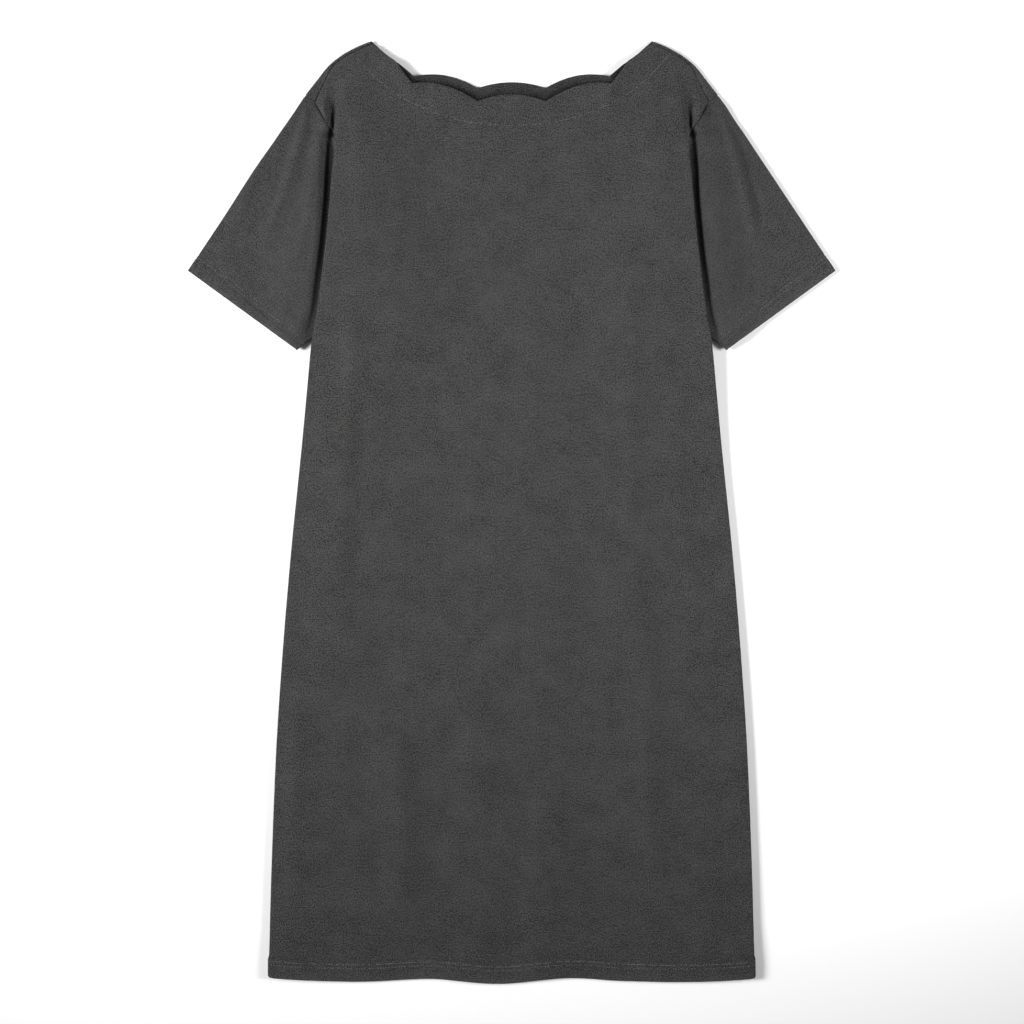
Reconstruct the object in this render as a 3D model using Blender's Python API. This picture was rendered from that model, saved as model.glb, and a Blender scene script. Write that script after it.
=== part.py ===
"""A cotton-jersey T-shirt dress laid flat on its back, neck towards +Y, as separate sewn pieces.

Sizes and tables are in millimetres. A place on the garment is given by "half", its distance from
the centre line, or by "x", the same with a sign, and by "down", its distance below the neck points.
Each table starts with the names of its columns.
"""

import math

import bmesh
import bpy
import numpy as np

MM = 0.001

# The garment's size.
LENGTH = 955.0
BODY_HALF = 248.0
NECK_POINT_HALF = 141.5
SHOULDER_END = (208.6, 55.2)
SEAM_TIP = (199.5, 61.2)
UNDERARM = (142.5, 252.7)
SLEEVE_HEM_OUTER = (327.3, 233.5)
SLEEVE_HEM_INNER = (217.9, 313.5)

# The cloth, and how its plies stack.
CLOTH = 1.2
FACING_CLOTH = 1.0
SEAM_GAP = 0.3
PLY_GAP = 0.6
PLY = CLOTH + PLY_GAP
FOLD_RADIUS = PLY / 2
FOLD_LENGTH = math.pi * FOLD_RADIUS
FOLD_REACH = FOLD_RADIUS + CLOTH / 2
FLOOR_PLY = CLOTH / 2
WRAP_AT_NECK = 1.0

# How high the front lies over the back, and how its height changes.
NECK_PUFF = 3.9
BODY_PUFF = 3.6
PUFF_CHANGES = (90.0, 170.0)
SHELF = 20.0
SLOPE = 85.0
EDGE_SETTLES = 25.0

# The sleeve: its puff, how far beside the body it comes down to the floor, where the fold that it
# lies in opens, and the share of its length over which it settles.
SLEEVE_PUFF = 0.8
SLEEVE_COMES_DOWN = (9.0, 47.0)
FOLD_OPENS = (86.0, 100.0)
SLEEVE_SETTLES = 0.25
ARMHOLE_EASE = 0.6

# How finely it is divided.
FOLD_STEPS = 5
FLAP_STEPS = 3
SCALLOP_STEPS = (4, 6, 4)
SHOULDER_STEPS = 3
SLEEVE_STEPS = 10
WRAP_STEPS = 4

# The shoulder fold, from the neck point to the armhole.
SHOULDER = [
    ("half", "down"),
    (141.5, 0.6),
    (153.4, 5.2),
    (163.5, 10.2),
    (172.2, 15.3),
    (184.7, 25.2),
    (196.9, 40.3),
    (208.6, 55.2),
]

# Height of the cloth's middle along the front's top edge.
EDGE_LEVEL = [
    ("half", "level"),
    (0, 3.9),
    (100, 3.9),
    (141.5, 3.4),
    (166, 3.4),
    (184, 2.4),
    (210, 2.4),
]

# Sections across the body. "fold" is the half-width at which it folds under, the turns are the
# degrees that each panel has turned there, "rise" is the front's height at the fold, and "close"
# is how far the flap's end leans to the other panel at the seam.
SECTIONS = [
    ("down", "fold", "front_turn", "back_turn", "rise", "close"),
    (20, 184.8, 4, 0, 3.9, 0),
    (61.5, 184.8, 8, 0, 4.5, 0),
    (70, 184.0, 14, 0, 5.6, 0),
    (80, 183.0, 28, 0, 7.0, 0),
    (87, 182.1, 48, 15, 8.2, 0),
    (93, 181.3, 80, 60, 9.0, 0),
    (99, 180.6, 140, 120, 9.5, 0),
    (105, 180.3, 180, 180, 9.6, 0),
    (131, 182.8, 180, 180, 9.6, 0.3),
    (172, 186.3, 180, 180, 9.6, 0.3),
    (212, 190.2, 180, 180, 9.6, 0.3),
    (252.7, 195.6, 180, 180, 9.6, 0.3),
    (275, 198.4, 180, 180, 9.6, 1.0),
    (305, 202.7, 180, 180, 9.6, 1.9),
    (350, 206.6, 180, 180, 8.4, 1.3),
    (395, 210.9, 180, 180, 6.8, 0.55),
    (440, 215.5, 180, 180, 6.0, 0.15),
    (516, 223.2, 180, 180, 6.0, 0.15),
    (617, 231.7, 180, 180, 6.0, 0.15),
    (719, 238.4, 180, 180, 6.0, 0.15),
    (820, 242.5, 180, 180, 6.0, 0.15),
    (890, 244.6, 180, 180, 6.0, 0.15),
    (925, 245.7, 150, 150, 7.3, 0),
    (955, 246.1, 95, 95, 6.2, 0),
]

# Cloth that runs on past the fold to the armhole seam. Below the underarm the straight cut sets it.
ARMHOLE = [
    ("down", "front", "back"),
    (20, 13.4, 22.5),
    (61.5, 13.2, 16.4),
    (70, 9.4, 10.4),
    (80, 5.8, 5.6),
    (87, 4.4, 3.0),
    (93, 1.6, 0.6),
    (99, 0.5, 0.4),
    (105, 0.5, 0.5),
    (131, 4.4, 4.4),
    (172, 19.0, 19.0),
    (212, 31.0, 31.0),
    (252.7, 51.1, 51.1),
]

# The neck's scallops from the neck point to the centre: where each starts and how far it bulges.
# The last row is the middle scallop's other end.
FRONT_NECK = [
    ("half", "down", "bulge"),
    (141.5, 3.7, 2.4),
    (100.5, 43.3, 8.1),
    (34.4, 61.8, 7.6),
    (-34.4, 61.8, 0),
]
BACK_NECK = [
    ("half", "down", "bulge"),
    (141.5, 0.6, 1.0),
    (98.7, 36.3, 7.4),
    (34.2, 47.5, 5.9),
    (-34.2, 47.5, 0),
]

# The facing's lower edge inside the back neck, and how far down the facing its rows lie.
FACING_EDGE = [
    ("half", "down"),
    (0, 76.0),
    (35.9, 74.0),
    (64.5, 68.5),
    (90.8, 60.0),
    (112.3, 50.5),
    (132.0, 37.0),
    (152.5, 17.0),
]
FACING_ROWS = (0.012, 0.5, 1.0)
FACING_SHOULDER_INSET = 2.5

# How far the hem rises above its lowest point, from one side to the other.
HEM_WAVE = [
    ("x", "rise"),
    (-245, 6.2),
    (-184, 2.8),
    (-154, 2.1),
    (-87, 4.9),
    (-14, 0.0),
    (59, 5.8),
    (108, 3.0),
    (168, 1.9),
    (245, 5.3),
]

# Soft folds of the front: where each starts and ends, its width, and its height over the puff.
SOFT_FOLDS = [
    ("x_top", "x_bottom", "top", "bottom", "width", "height"),
    (-149, -150, 230, 700, 34, -0.8),
    (127, 140, 200, 640, 32, -0.8),
    (0, 20, 120, 620, 70, 0.5),
    (-108, -108, 760, 1100, 38, -0.8),
    (49, 49, 800, 1100, 34, -0.7),
    (150, 165, 780, 1100, 36, 0.9),
    (-40, -32, 760, 1100, 40, 0.9),
]

# The rows of the panels' grid. The neck's shape dies out at NECK_FADES, and the hem's wave starts
# at HEM_STARTS.
ROWS = (30, 44, 57, 68, 78, 88, 100, 116, 138, 172, 212, 252.7, 275, 305, 350, 395, 455, 530, 617,
        719, 820, 885, 925, 955)
NECK_FADES = 138.0
HEM_STARTS = 820.0

CHARCOAL = (0.062, 0.060, 0.060)
INNER_CHARCOAL = (0.045, 0.044, 0.044)


def smooth(share):
    """0 to 1 with a soft start and end."""
    share = min(max(share, 0.0), 1.0)
    return share * share * (3 - 2 * share)


def between(value, start, end):
    """How far a value has gone from start to end, made smooth."""
    return smooth((value - start) / (end - start))


def curve(table, key, value):
    """A smooth function through a table's rows, which doesn't overshoot them."""
    names = table[0]
    at = np.array([row[names.index(key)] for row in table[1:]], float)
    height = np.array([row[names.index(value)] for row in table[1:]], float)
    slope = np.diff(height) / np.diff(at)
    tangent = np.zeros(len(at))
    tangent[0], tangent[-1] = slope[0], slope[-1]
    for i in range(1, len(at) - 1):
        if slope[i - 1] * slope[i] > 0:
            tangent[i] = 2 / (1 / slope[i - 1] + 1 / slope[i])

    def value_at(place):
        place = min(max(place, at[0]), at[-1])
        i = min(int(np.searchsorted(at, place, side="right")) - 1, len(slope) - 1)
        span = at[i + 1] - at[i]
        t = (place - at[i]) / span
        start = (1 + 2 * t) * (1 - t) ** 2 * height[i] + t * (1 - t) ** 2 * span * tangent[i]
        end = t * t * (3 - 2 * t) * height[i + 1] + t * t * (t - 1) * span * tangent[i + 1]
        return float(start + end)

    return value_at


shoulder_down = curve(SHOULDER, "half", "down")
edge_level = curve(EDGE_LEVEL, "half", "level")
facing_down = curve(FACING_EDGE, "half", "down")
hem_rise = curve(HEM_WAVE, "x", "rise")
fold_half = curve(SECTIONS, "down", "fold")
rise = curve(SECTIONS, "down", "rise")
close = curve(SECTIONS, "down", "close")
turn_degrees = {panel: curve(SECTIONS, "down", panel + "_turn") for panel in ("front", "back")}
armhole_flap = {panel: curve(ARMHOLE, "down", panel) for panel in ("front", "back")}


def fold_start(down):
    """Where the flat cloth ends and the fold's curve begins."""
    return fold_half(down) - FOLD_REACH


def flap(panel, down):
    """Cloth past the fold: to the armhole seam, or below the underarm what the straight cut leaves."""
    if down < UNDERARM[1]:
        return armhole_flap[panel](down)
    return BODY_HALF - FOLD_LENGTH - fold_start(down)


def soft_folds(x, down):
    total = 0.0
    for x_top, x_bottom, top, bottom, width, height in SOFT_FOLDS[1:]:
        along = (down - top) / (bottom - top)
        if 0 < along < 1:
            centre = x_top + (x_bottom - x_top) * along
            fade = smooth(along * 4) * smooth((1 - along) * 4)
            total += height * fade * math.exp(-2 * ((x - centre) / width) ** 2)
    return total


def front_height(x, down):
    """Height of the front's middle: a puff over the back, rising over the plies at the sides."""
    turned_in = flap("front", down) * between(down, *FOLD_OPENS)
    shelf = fold_start(down) - turned_in - SHELF
    puff = NECK_PUFF + (BODY_PUFF - NECK_PUFF) * between(down, *PUFF_CHANGES) + soft_folds(x, down)
    return puff + (rise(down) - puff) * between(abs(x), shelf - SLOPE, shelf)


def scallops(neck):
    """Points along half of a scalloped neck edge, from the neck point to the centre."""
    points = [neck[1][:2]]
    for i, steps in enumerate(SCALLOP_STEPS, start=1):
        (x0, down0, bulge), (x1, down1, _) = neck[i], neck[i + 1]
        whole = steps if x1 > 0 else 2 * steps
        chord = math.hypot(x1 - x0, down1 - down0)
        for step in range(1, steps + 1):
            t = step / whole
            out = bulge * 4 * t * (1 - t) / chord
            points.append((x0 + (x1 - x0) * t + out * (down1 - down0),
                           down0 + (down1 - down0) * t - out * abs(x1 - x0)))
    return points


def shoulder_frame(x):
    """At a place on the shoulder fold: the point, the direction out of the garment, the radius."""
    slope = shoulder_down(x + 0.5) - shoulder_down(x - 0.5)
    out = np.array((slope, -1.0)) / math.hypot(slope, 1.0)
    return np.array((x, shoulder_down(x))), out, (edge_level(x) - FLOOR_PLY) / 2


def wrap_end(x):
    """Where the back's cloth ends on the front: along the shoulder seam, to the armhole."""
    place, out, radius = shoulder_frame(min(x, CREASE))
    start = place - (radius + WRAP_AT_NECK) * out
    share = max(0.0, (x - CREASE) / (SHOULDER_END[0] - CREASE))
    return start + (np.array(SEAM_TIP) - start) * share


def front_shoulder_down(x):
    """The front's edge at the shoulder seam, a seam's gap from the back's cloth."""
    places = (*np.linspace(NECK_POINT_HALF, CREASE, 5), SHOULDER_END[0])
    ends = [wrap_end(place) for place in places]
    i = min(max(sum(end[0] < x for end in ends), 1), len(ends) - 1)
    before, after = ends[i - 1], ends[i]
    slope = (after[1] - before[1]) / (after[0] - before[0])
    return before[1] + (x - before[0]) * slope + SEAM_GAP * math.hypot(1.0, slope)


def half_columns(panel, neck):
    """Half of a panel's columns from the centre out: (top half-width, top down, part, share).

    A column runs from the neck or the shoulder to the hem. Part is "flat", "fold" or "flap"."""
    top_edge = shoulder_down if panel == "back" else front_shoulder_down
    found = [(x, down, "flat", 0.0) for x, down in reversed(scallops(neck))]
    for step in range(1, SHOULDER_STEPS + 1):
        x = NECK_POINT_HALF + (CREASE - NECK_POINT_HALF) * step / SHOULDER_STEPS
        found.append((x, top_edge(x), "flat", 0.0))
    for step in range(1, FOLD_STEPS + 1):
        x = CREASE + FOLD_LENGTH * step / FOLD_STEPS
        found.append((x, top_edge(x), "fold", step / FOLD_STEPS))
    for step in range(1, FLAP_STEPS + 1):
        x = CREASE + FOLD_LENGTH + flap(panel, 0) * step / FLAP_STEPS
        found.append((x, top_edge(x), "flap", step / FLAP_STEPS))
    return found


def panel_point(panel, sign, place, down):
    """A point of the panel's middle and the direction out of the garment there, as (x, down, z)."""
    top_half, top_down, part, share = place
    fold = fold_start(down)
    over = panel == "front"
    up = 1.0 if over else -1.0
    bent = 0.0
    if part == "flat":
        x = top_half / fold_start(top_down) * fold
        level = front_height(sign * x, down) if over else FLOOR_PLY
    else:
        level = front_height(sign * fold, down) if over else FLOOR_PLY
        angle = math.radians(turn_degrees[panel](down))
        bent = angle * share if part == "fold" else angle
        radius = FOLD_LENGTH / max(angle, 1e-4)
        x = fold + radius * math.sin(bent)
        level -= up * radius * (1 - math.cos(bent))
        if part == "flap":
            length = flap(panel, down) * share
            x += length * math.cos(bent)
            level -= up * length * math.sin(bent)
            level -= up * close(down) * max(0.0, share * FLAP_STEPS - FLAP_STEPS + 1)
    if over:
        settled = between(down - top_down, 0, EDGE_SETTLES)
        level = edge_level(top_half) + (level - edge_level(top_half)) * settled
    return (sign * x, down, level), (sign * math.sin(bent), 0.0, up * math.cos(bent))


def row_down(row, top_down, x):
    """How far down a grid row lies: it follows the neck at the top and the wave at the hem."""
    neck_share = max(0.0, (NECK_FADES - ROWS[row]) / (NECK_FADES - ROWS[0]))
    hem_share = between(ROWS[row], HEM_STARTS, ROWS[-1])
    return ROWS[row] + (top_down - ROWS[0]) * neck_share - hem_share * hem_rise(x)


class Sheet:
    """The middle surface of a piece: points, the direction out at each, and its four-sided faces."""

    def __init__(self):
        self.points, self.normals, self.faces = [], [], []

    def add(self, point, normal):
        self.points.append(point)
        self.normals.append(normal)
        return len(self.points) - 1

    def strip(self, first, second):
        """Faces between two rows of point numbers."""
        for i in range(len(first) - 1):
            self.faces.append((first[i], first[i + 1], second[i + 1], second[i]))

    def solid(self, name, thickness, colour):
        """A closed wall, with half of its thickness on each side of the middle surface."""
        mesh = bmesh.new()
        outer, inner = [], []
        for (x, down, z), normal in zip(self.points, self.normals):
            centre = np.array((x, LENGTH / 2 - down, z))
            step = np.array(normal) * thickness / 2
            outer.append(mesh.verts.new((centre + step) * MM))
            inner.append(mesh.verts.new((centre - step) * MM))
        border = {}
        for face in self.faces:
            mesh.faces.new([outer[i] for i in face])
            mesh.faces.new([inner[i] for i in reversed(face)])
            for start, end in zip(face, face[1:] + face[:1]):
                if border.pop((end, start), None) is None:
                    border[start, end] = True
        for start, end in border:
            mesh.faces.new((outer[end], outer[start], inner[start], inner[end]))
        bmesh.ops.recalc_face_normals(mesh, faces=mesh.faces)
        data = bpy.data.meshes.new(name)
        mesh.to_mesh(data)
        mesh.free()
        data.shade_smooth()
        data.set_sharp_from_angle(angle=math.radians(40))
        data.materials.append(jersey(name, colour))
        bpy.context.scene.collection.objects.link(bpy.data.objects.new(name, data))


def jersey(name, colour):
    """Dry, matt cotton jersey."""
    material = bpy.data.materials.new(name + "_jersey")
    material.use_nodes = True
    shader = material.node_tree.nodes["Principled BSDF"]
    shader.inputs["Base Color"].default_value = (*colour, 1.0)
    shader.inputs["Roughness"].default_value = 0.92
    shader.inputs["Metallic"].default_value = 0.0
    return material


def body_panel(panel, half):
    """A body panel's sheet, and the point numbers of its top row from -X to +X."""
    sheet = Sheet()
    across = [(-1, place) for place in reversed(half[1:])] + [(1, place) for place in half]
    rows = []
    for row in range(len(ROWS)):
        numbers = []
        for sign, place in across:
            near = panel_point(panel, sign, place, row_down(row, place[1], sign * place[0]))[0][0]
            numbers.append(sheet.add(*panel_point(panel, sign, place, row_down(row, place[1], near))))
        rows.append(numbers)
    for above, below in zip(rows, rows[1:]):
        sheet.strip(above, below)
    return sheet, rows[0]


def add_shoulder_wrap(sheet, top_row, half):
    """The back's cloth over the shoulder fold, from each neck point to the armhole seam."""
    places = range(sum(SCALLOP_STEPS), len(half))
    for sign in (-1, 1):
        previous = [top_row[len(half) - 1 + sign * i] for i in places]
        for step in range(1, WRAP_STEPS + 2):
            angle = math.pi * min(step, WRAP_STEPS) / WRAP_STEPS
            numbers = []
            for i in places:
                place, out, radius = shoulder_frame(half[i][0])
                where = place - radius * out * (1 - math.sin(angle))
                if step > WRAP_STEPS:
                    where = wrap_end(half[i][0])
                normal = (sign * out[0] * math.sin(angle), -out[1] * math.sin(angle), -math.cos(angle))
                level = FLOOR_PLY + radius * (1 - math.cos(angle))
                numbers.append(sheet.add((sign * where[0], where[1], level), normal))
            sheet.strip(*((previous, numbers) if sign < 0 else (numbers, previous)))
            previous = numbers


def armhole_edge(panel, half):
    """Where the sleeve starts along a panel's armhole, a gap from the panel: (half, down, level)."""
    edge = []
    under = 1.0 if panel == "front" else -1.0
    for row in range(1, len(ROWS)):
        down = row_down(row, half[-1][1], 0.0)
        if down > UNDERARM[1] + SEAM_GAP:
            break
        (x, _, level), _ = panel_point(panel, 1, half[-1], down)
        angle = math.radians(turn_degrees[panel](down))
        along = SEAM_GAP + CLOTH / 2 * math.sin(angle)
        across = (CLOTH + SEAM_GAP) * (1 - math.cos(angle)) / 2
        x += along * math.cos(angle) + across * math.sin(angle)
        level += under * (across * math.cos(angle) - along * math.sin(angle))
        edge.append((x, down, level))
    return edge


def sleeve_level(x, down, panel):
    """Height of a sleeve ply at rest: between the body's flaps, and on the floor beyond them."""
    beside = 1 - between(x - fold_half(down), *SLEEVE_COMES_DOWN)
    back_ply = FLOOR_PLY + 2 * PLY * beside * between(down, *FOLD_OPENS)
    if panel == "back":
        return back_ply
    return back_ply + PLY + SLEEVE_PUFF * (1 - beside)


def sleeve_side(start, end, side):
    """A straight side of the sleeve: its start and end, the way along it, and the way out of it."""
    start, end = np.array(start), np.array(end)
    along = (end - start) / np.linalg.norm(end - start)
    return start, end, along, side * np.array((along[1], -along[0]))


def sleeve_ply(edge, panel, share):
    """One ply's points at a share of the sleeve's length, from its outer fold to the underarm."""
    places = [np.array(point[:2]) for point in edge]
    lengths = np.cumsum([0.0] + [np.linalg.norm(b - a) for a, b in zip(places, places[1:])])
    hem_from, hem_to = OUTER_END - FOLD_REACH * OUTWARD, INNER_END - FOLD_REACH * INWARD
    settled = smooth(share / SLEEVE_SETTLES)
    run = []
    for place, (_, _, level), length in zip(places, edge, lengths):
        hem = hem_from + (hem_to - hem_from) * length / lengths[-1]
        where = place * (1 - share) + hem * share
        run.append((where, level * (1 - settled) + sleeve_level(*where, panel) * settled))
    return run


def sleeve_fold(top, bottom, out, angles):
    """Points round a sleeve's fold between its plies, and the direction out at each."""
    radius = (top[1] - bottom[1]) / 2
    points = []
    for angle in angles:
        across, up = math.sin(angle), math.cos(angle)
        where = top[0] * (1 + up) / 2 + bottom[0] * (1 - up) / 2 + radius * across * out
        points.append((where, bottom[1] + radius * (1 + up), (*(across * out), up)))
    return points


def sleeve(name, sign, front_half, back_half):
    """A short sleeve as a flattened tube of rings, from the armhole to its hem."""
    start = OUTER_START + ARMHOLE_EASE * ALONG_SLEEVE - FOLD_REACH * OUTWARD
    tip = np.array(SEAM_TIP) + ARMHOLE_EASE * ALONG_SLEEVE
    front_edge = [(*start, FLOOR_PLY + PLY), (*tip, FLOOR_PLY + PLY)]
    front_edge += armhole_edge("front", front_half)
    back_edge = [(*start, FLOOR_PLY)] + armhole_edge("back", back_half)
    angles = [math.pi * step / WRAP_STEPS for step in range(1, WRAP_STEPS)]
    sheet = Sheet()
    previous = None
    for step in range(SLEEVE_STEPS + 1):
        front = sleeve_ply(front_edge, "front", step / SLEEVE_STEPS)
        back = sleeve_ply(back_edge, "back", step / SLEEVE_STEPS)
        ring = [(*point, (0, 0, 1)) for point in front]
        ring += sleeve_fold(front[-1], back[-1], INWARD, angles)
        ring += [(*point, (0, 0, -1)) for point in reversed(back)]
        ring += sleeve_fold(front[0], back[0], OUTWARD, reversed(angles))
        numbers = [sheet.add((sign * where[0], where[1], level), (sign * out[0], -out[1], out[2]))
                   for where, level, out in ring]
        numbers.append(numbers[0])
        if previous:
            sheet.strip(*((previous, numbers) if sign > 0 else (numbers, previous)))
        previous = numbers
    sheet.solid(name, CLOTH, CHARCOAL)


def back_neck_facing():
    """A shaped strip on the back's inner face, its top edge flush with the scallops."""
    sheet = Sheet()
    neck = list(reversed(scallops(BACK_NECK)))
    neck[-1] = (neck[-1][0], neck[-1][1] + FACING_SHOULDER_INSET)
    across = [(-1, *point) for point in reversed(neck[1:])] + [(1, *point) for point in neck]
    level = CLOTH + SEAM_GAP + FACING_CLOTH / 2
    previous = None
    for share in FACING_ROWS:
        numbers = []
        for sign, x, down in across:
            low_x = x / NECK_POINT_HALF * FACING_EDGE[-1][0]
            where = (x + (low_x - x) * share, down + (facing_down(low_x) - down) * share)
            numbers.append(sheet.add((sign * where[0], where[1], level), (0, 0, 1)))
        if previous:
            sheet.strip(previous, numbers)
        previous = numbers
    sheet.solid("back_neck_facing", FACING_CLOTH, INNER_CHARCOAL)


def clear_scene():
    for thing in list(bpy.data.objects):
        bpy.data.objects.remove(thing, do_unlink=True)


def main():
    clear_scene()
    front_half = half_columns("front", FRONT_NECK)
    back_half = half_columns("back", BACK_NECK)
    front, _ = body_panel("front", front_half)
    front.solid("front", CLOTH, CHARCOAL)
    back, top_row = body_panel("back", back_half)
    add_shoulder_wrap(back, top_row, back_half)
    back.solid("back", CLOTH, CHARCOAL)
    back_neck_facing()
    sleeve("sleeve_left", 1, front_half, back_half)
    sleeve("sleeve_right", -1, front_half, back_half)


CREASE = fold_start(0)
OUTER_START, OUTER_END, ALONG_SLEEVE, OUTWARD = sleeve_side(SHOULDER_END, SLEEVE_HEM_OUTER, 1)
_, INNER_END, _, INWARD = sleeve_side(UNDERARM, SLEEVE_HEM_INNER, -1)
main()
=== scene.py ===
# %% [markdown]
# # A charcoal jersey dress, laid flat
#
# The dress is a long T-shirt in garment-dyed cotton jersey: two straight panels, two short sleeves,
# and a wide neck cut in scallops. It lies on its back on a pale table, as clothes are laid out to be
# photographed from straight above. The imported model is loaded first. Each of its plain solids is then
# replaced by a fine shell of cloth on the same form, so nothing here moves or changes a size.

import math

import bpy
import numpy as np
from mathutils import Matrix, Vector
from mathutils.bvhtree import BVHTree


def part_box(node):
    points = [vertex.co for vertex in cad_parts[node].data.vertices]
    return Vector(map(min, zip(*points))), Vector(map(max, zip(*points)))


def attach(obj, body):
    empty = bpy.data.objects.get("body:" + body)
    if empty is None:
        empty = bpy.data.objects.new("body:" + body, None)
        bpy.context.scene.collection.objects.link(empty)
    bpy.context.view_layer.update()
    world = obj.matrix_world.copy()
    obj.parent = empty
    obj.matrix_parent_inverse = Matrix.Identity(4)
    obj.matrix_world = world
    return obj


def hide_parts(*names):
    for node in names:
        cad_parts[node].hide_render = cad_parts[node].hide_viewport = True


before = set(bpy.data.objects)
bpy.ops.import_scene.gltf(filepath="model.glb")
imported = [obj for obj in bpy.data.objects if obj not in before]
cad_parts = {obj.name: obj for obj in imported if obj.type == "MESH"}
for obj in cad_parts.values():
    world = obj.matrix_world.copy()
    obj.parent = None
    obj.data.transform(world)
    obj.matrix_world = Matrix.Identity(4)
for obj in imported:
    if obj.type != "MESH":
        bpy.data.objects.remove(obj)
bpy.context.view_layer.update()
print("packed pieces:", sorted(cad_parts))

# %% [markdown]
# ## Places on a garment
#
# A dressmaker finds a place by how far it is from the centre line and how far down it is from the
# neck points, so the tables here do the same, in millimetres. `x` has a sign, `half` has none. Only
# the last step turns a place into metres, with +Y towards the neck.

# %% The garment's sizes
MM = 0.001
LENGTH = 955.0
BODY_HALF = 248.0
NECK_POINT_HALF = 141.5
SHOULDER_END = (208.6, 55.2)
SEAM_TIP = (199.5, 61.2)
UNDERARM = (142.5, 252.7)
SLEEVE_HEM_OUTER = (327.3, 233.5)
SLEEVE_HEM_INNER = (217.9, 313.5)

CLOTH = 1.2
FACING_CLOTH = 1.0
SEAM_GAP = 0.3
PLY = 1.8
FOLD_RADIUS = PLY / 2
FOLD_LENGTH = math.pi * FOLD_RADIUS
FOLD_REACH = FOLD_RADIUS + CLOTH / 2
FLOOR_PLY = CLOTH / 2
WRAP_AT_NECK = 1.0


def to_metres(places):
    """Turns (x, down, z) in millimetres into Blender's metres."""
    places = np.asarray(places, float)
    return np.stack([places[..., 0], LENGTH / 2 - places[..., 1], places[..., 2]], axis=-1) * MM


print("cloth", CLOTH, "mm thick, plies", PLY, "mm apart")

# %% [markdown]
# ## Smooth lines from short tables
#
# A pattern cutter draws an edge through a few measured points. `curve` does that: it reads two columns
# of a table and gives a smooth line that doesn't overshoot, for whole arrays of places at once.

# %% Soft steps and curves
def smooth(share):
    """0 to 1 with a soft start and end."""
    share = np.clip(share, 0.0, 1.0)
    return share * share * (3 - 2 * share)


def between(value, start, end):
    """How far a value has gone from start to end, made smooth."""
    return smooth((value - start) / (end - start))


def curve(table, key, value):
    """A smooth function through a table's rows, which doesn't overshoot them."""
    names = table[0]
    at = np.array([row[names.index(key)] for row in table[1:]], float)
    height = np.array([row[names.index(value)] for row in table[1:]], float)
    slope = np.diff(height) / np.diff(at)
    tangent = np.concatenate((slope[:1], np.zeros(len(at) - 2), slope[-1:]))
    for i in range(1, len(at) - 1):
        if slope[i - 1] * slope[i] > 0:
            tangent[i] = 2 / (1 / slope[i - 1] + 1 / slope[i])

    def value_at(place):
        place = np.clip(place, at[0], at[-1])
        i = np.clip(np.searchsorted(at, place, side="right") - 1, 0, len(slope) - 1)
        span = at[i + 1] - at[i]
        t = (place - at[i]) / span
        start = (1 + 2 * t) * (1 - t) ** 2 * height[i] + t * (1 - t) ** 2 * span * tangent[i]
        end = t * t * (3 - 2 * t) * height[i + 1] + t * t * (t - 1) * span * tangent[i + 1]
        return start + end

    return value_at


print("half way up a soft step:", float(smooth(0.5)))

# %% [markdown]
# ## Shoulders
#
# Laid flat, the dress folds along each shoulder, and the table gives that fold's line from the neck point
# to the sleeve. The front's top edge doesn't lie on the table there: it stands off the back by the height
# in the second table, and most at the neck, where the scallops lift a little.

# %% The shoulder fold and the front's top edge
SHOULDER = [
    ("half", "down"),
    (141.5, 0.6),
    (153.4, 5.2),
    (163.5, 10.2),
    (172.2, 15.3),
    (184.7, 25.2),
    (196.9, 40.3),
    (208.6, 55.2),
]
EDGE_LEVEL = [
    ("half", "level"),
    (0, 7.4),
    (34, 7.0),
    (60, 8.4),
    (90, 8.6),
    (104, 9.8),
    (113, 9.6),
    (124, 7.0),
    (134, 4.8),
    (141.5, 3.4),
    (166, 3.4),
    (184, 2.4),
    (210, 2.4),
]
shoulder_down = curve(SHOULDER, "half", "down")
edge_level = curve(EDGE_LEVEL, "half", "level")
print("shoulder drops", round(float(shoulder_down(SHOULDER_END[0])), 1), "mm")

# %% [markdown]
# ## How the body folds under
#
# Laid flat, the body is narrower than its cut: each side turns under in a pleat that runs from the
# armhole to the hem. Near the top the pleat closes over the sleeve, so the front laps over it. The
# first table gives, for sections down the body, the half-width at the fold, how many degrees each panel
# has turned there, how high the front lies, and how far the hidden edges lean to each other at the seam.
# The second says how much cloth lies past the fold, up to the armhole's seam.

# %% Sections down the body
SECTIONS = [
    ("down", "fold", "front_turn", "back_turn", "rise", "close"),
    (20, 184.8, 4, 0, 3.9, 0),
    (61.5, 184.8, 8, 0, 4.5, 0),
    (70, 184.0, 14, 0, 5.6, 0),
    (80, 183.0, 28, 0, 7.0, 0),
    (87, 181.2, 48, 15, 8.2, 0),
    (93, 179.9, 80, 60, 9.0, 0),
    (99, 178.9, 140, 120, 9.5, 0),
    (105, 178.3, 180, 180, 9.6, 0),
    (131, 180.9, 180, 180, 9.6, 0.3),
    (172, 184.4, 180, 180, 9.6, 0.3),
    (212, 188.4, 180, 180, 9.6, 0.3),
    (252.7, 193.5, 180, 180, 9.6, 0.3),
    (275, 196.5, 180, 180, 9.6, 1.0),
    (305, 202.0, 180, 180, 9.6, 1.9),
    (350, 206.6, 180, 180, 8.4, 1.3),
    (395, 210.9, 180, 180, 6.8, 0.55),
    (440, 215.5, 180, 180, 6.0, 0.15),
    (516, 223.2, 180, 180, 6.0, 0.15),
    (617, 231.7, 180, 180, 6.0, 0.15),
    (719, 238.4, 180, 180, 6.0, 0.15),
    (820, 242.5, 180, 180, 6.0, 0.15),
    (890, 244.6, 180, 180, 6.0, 0.15),
    (925, 245.3, 150, 150, 7.3, 0),
    (930, 246.4, 135, 135, 7.0, 0),
    (955, 246.2, 95, 95, 6.2, 0),
]
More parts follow.
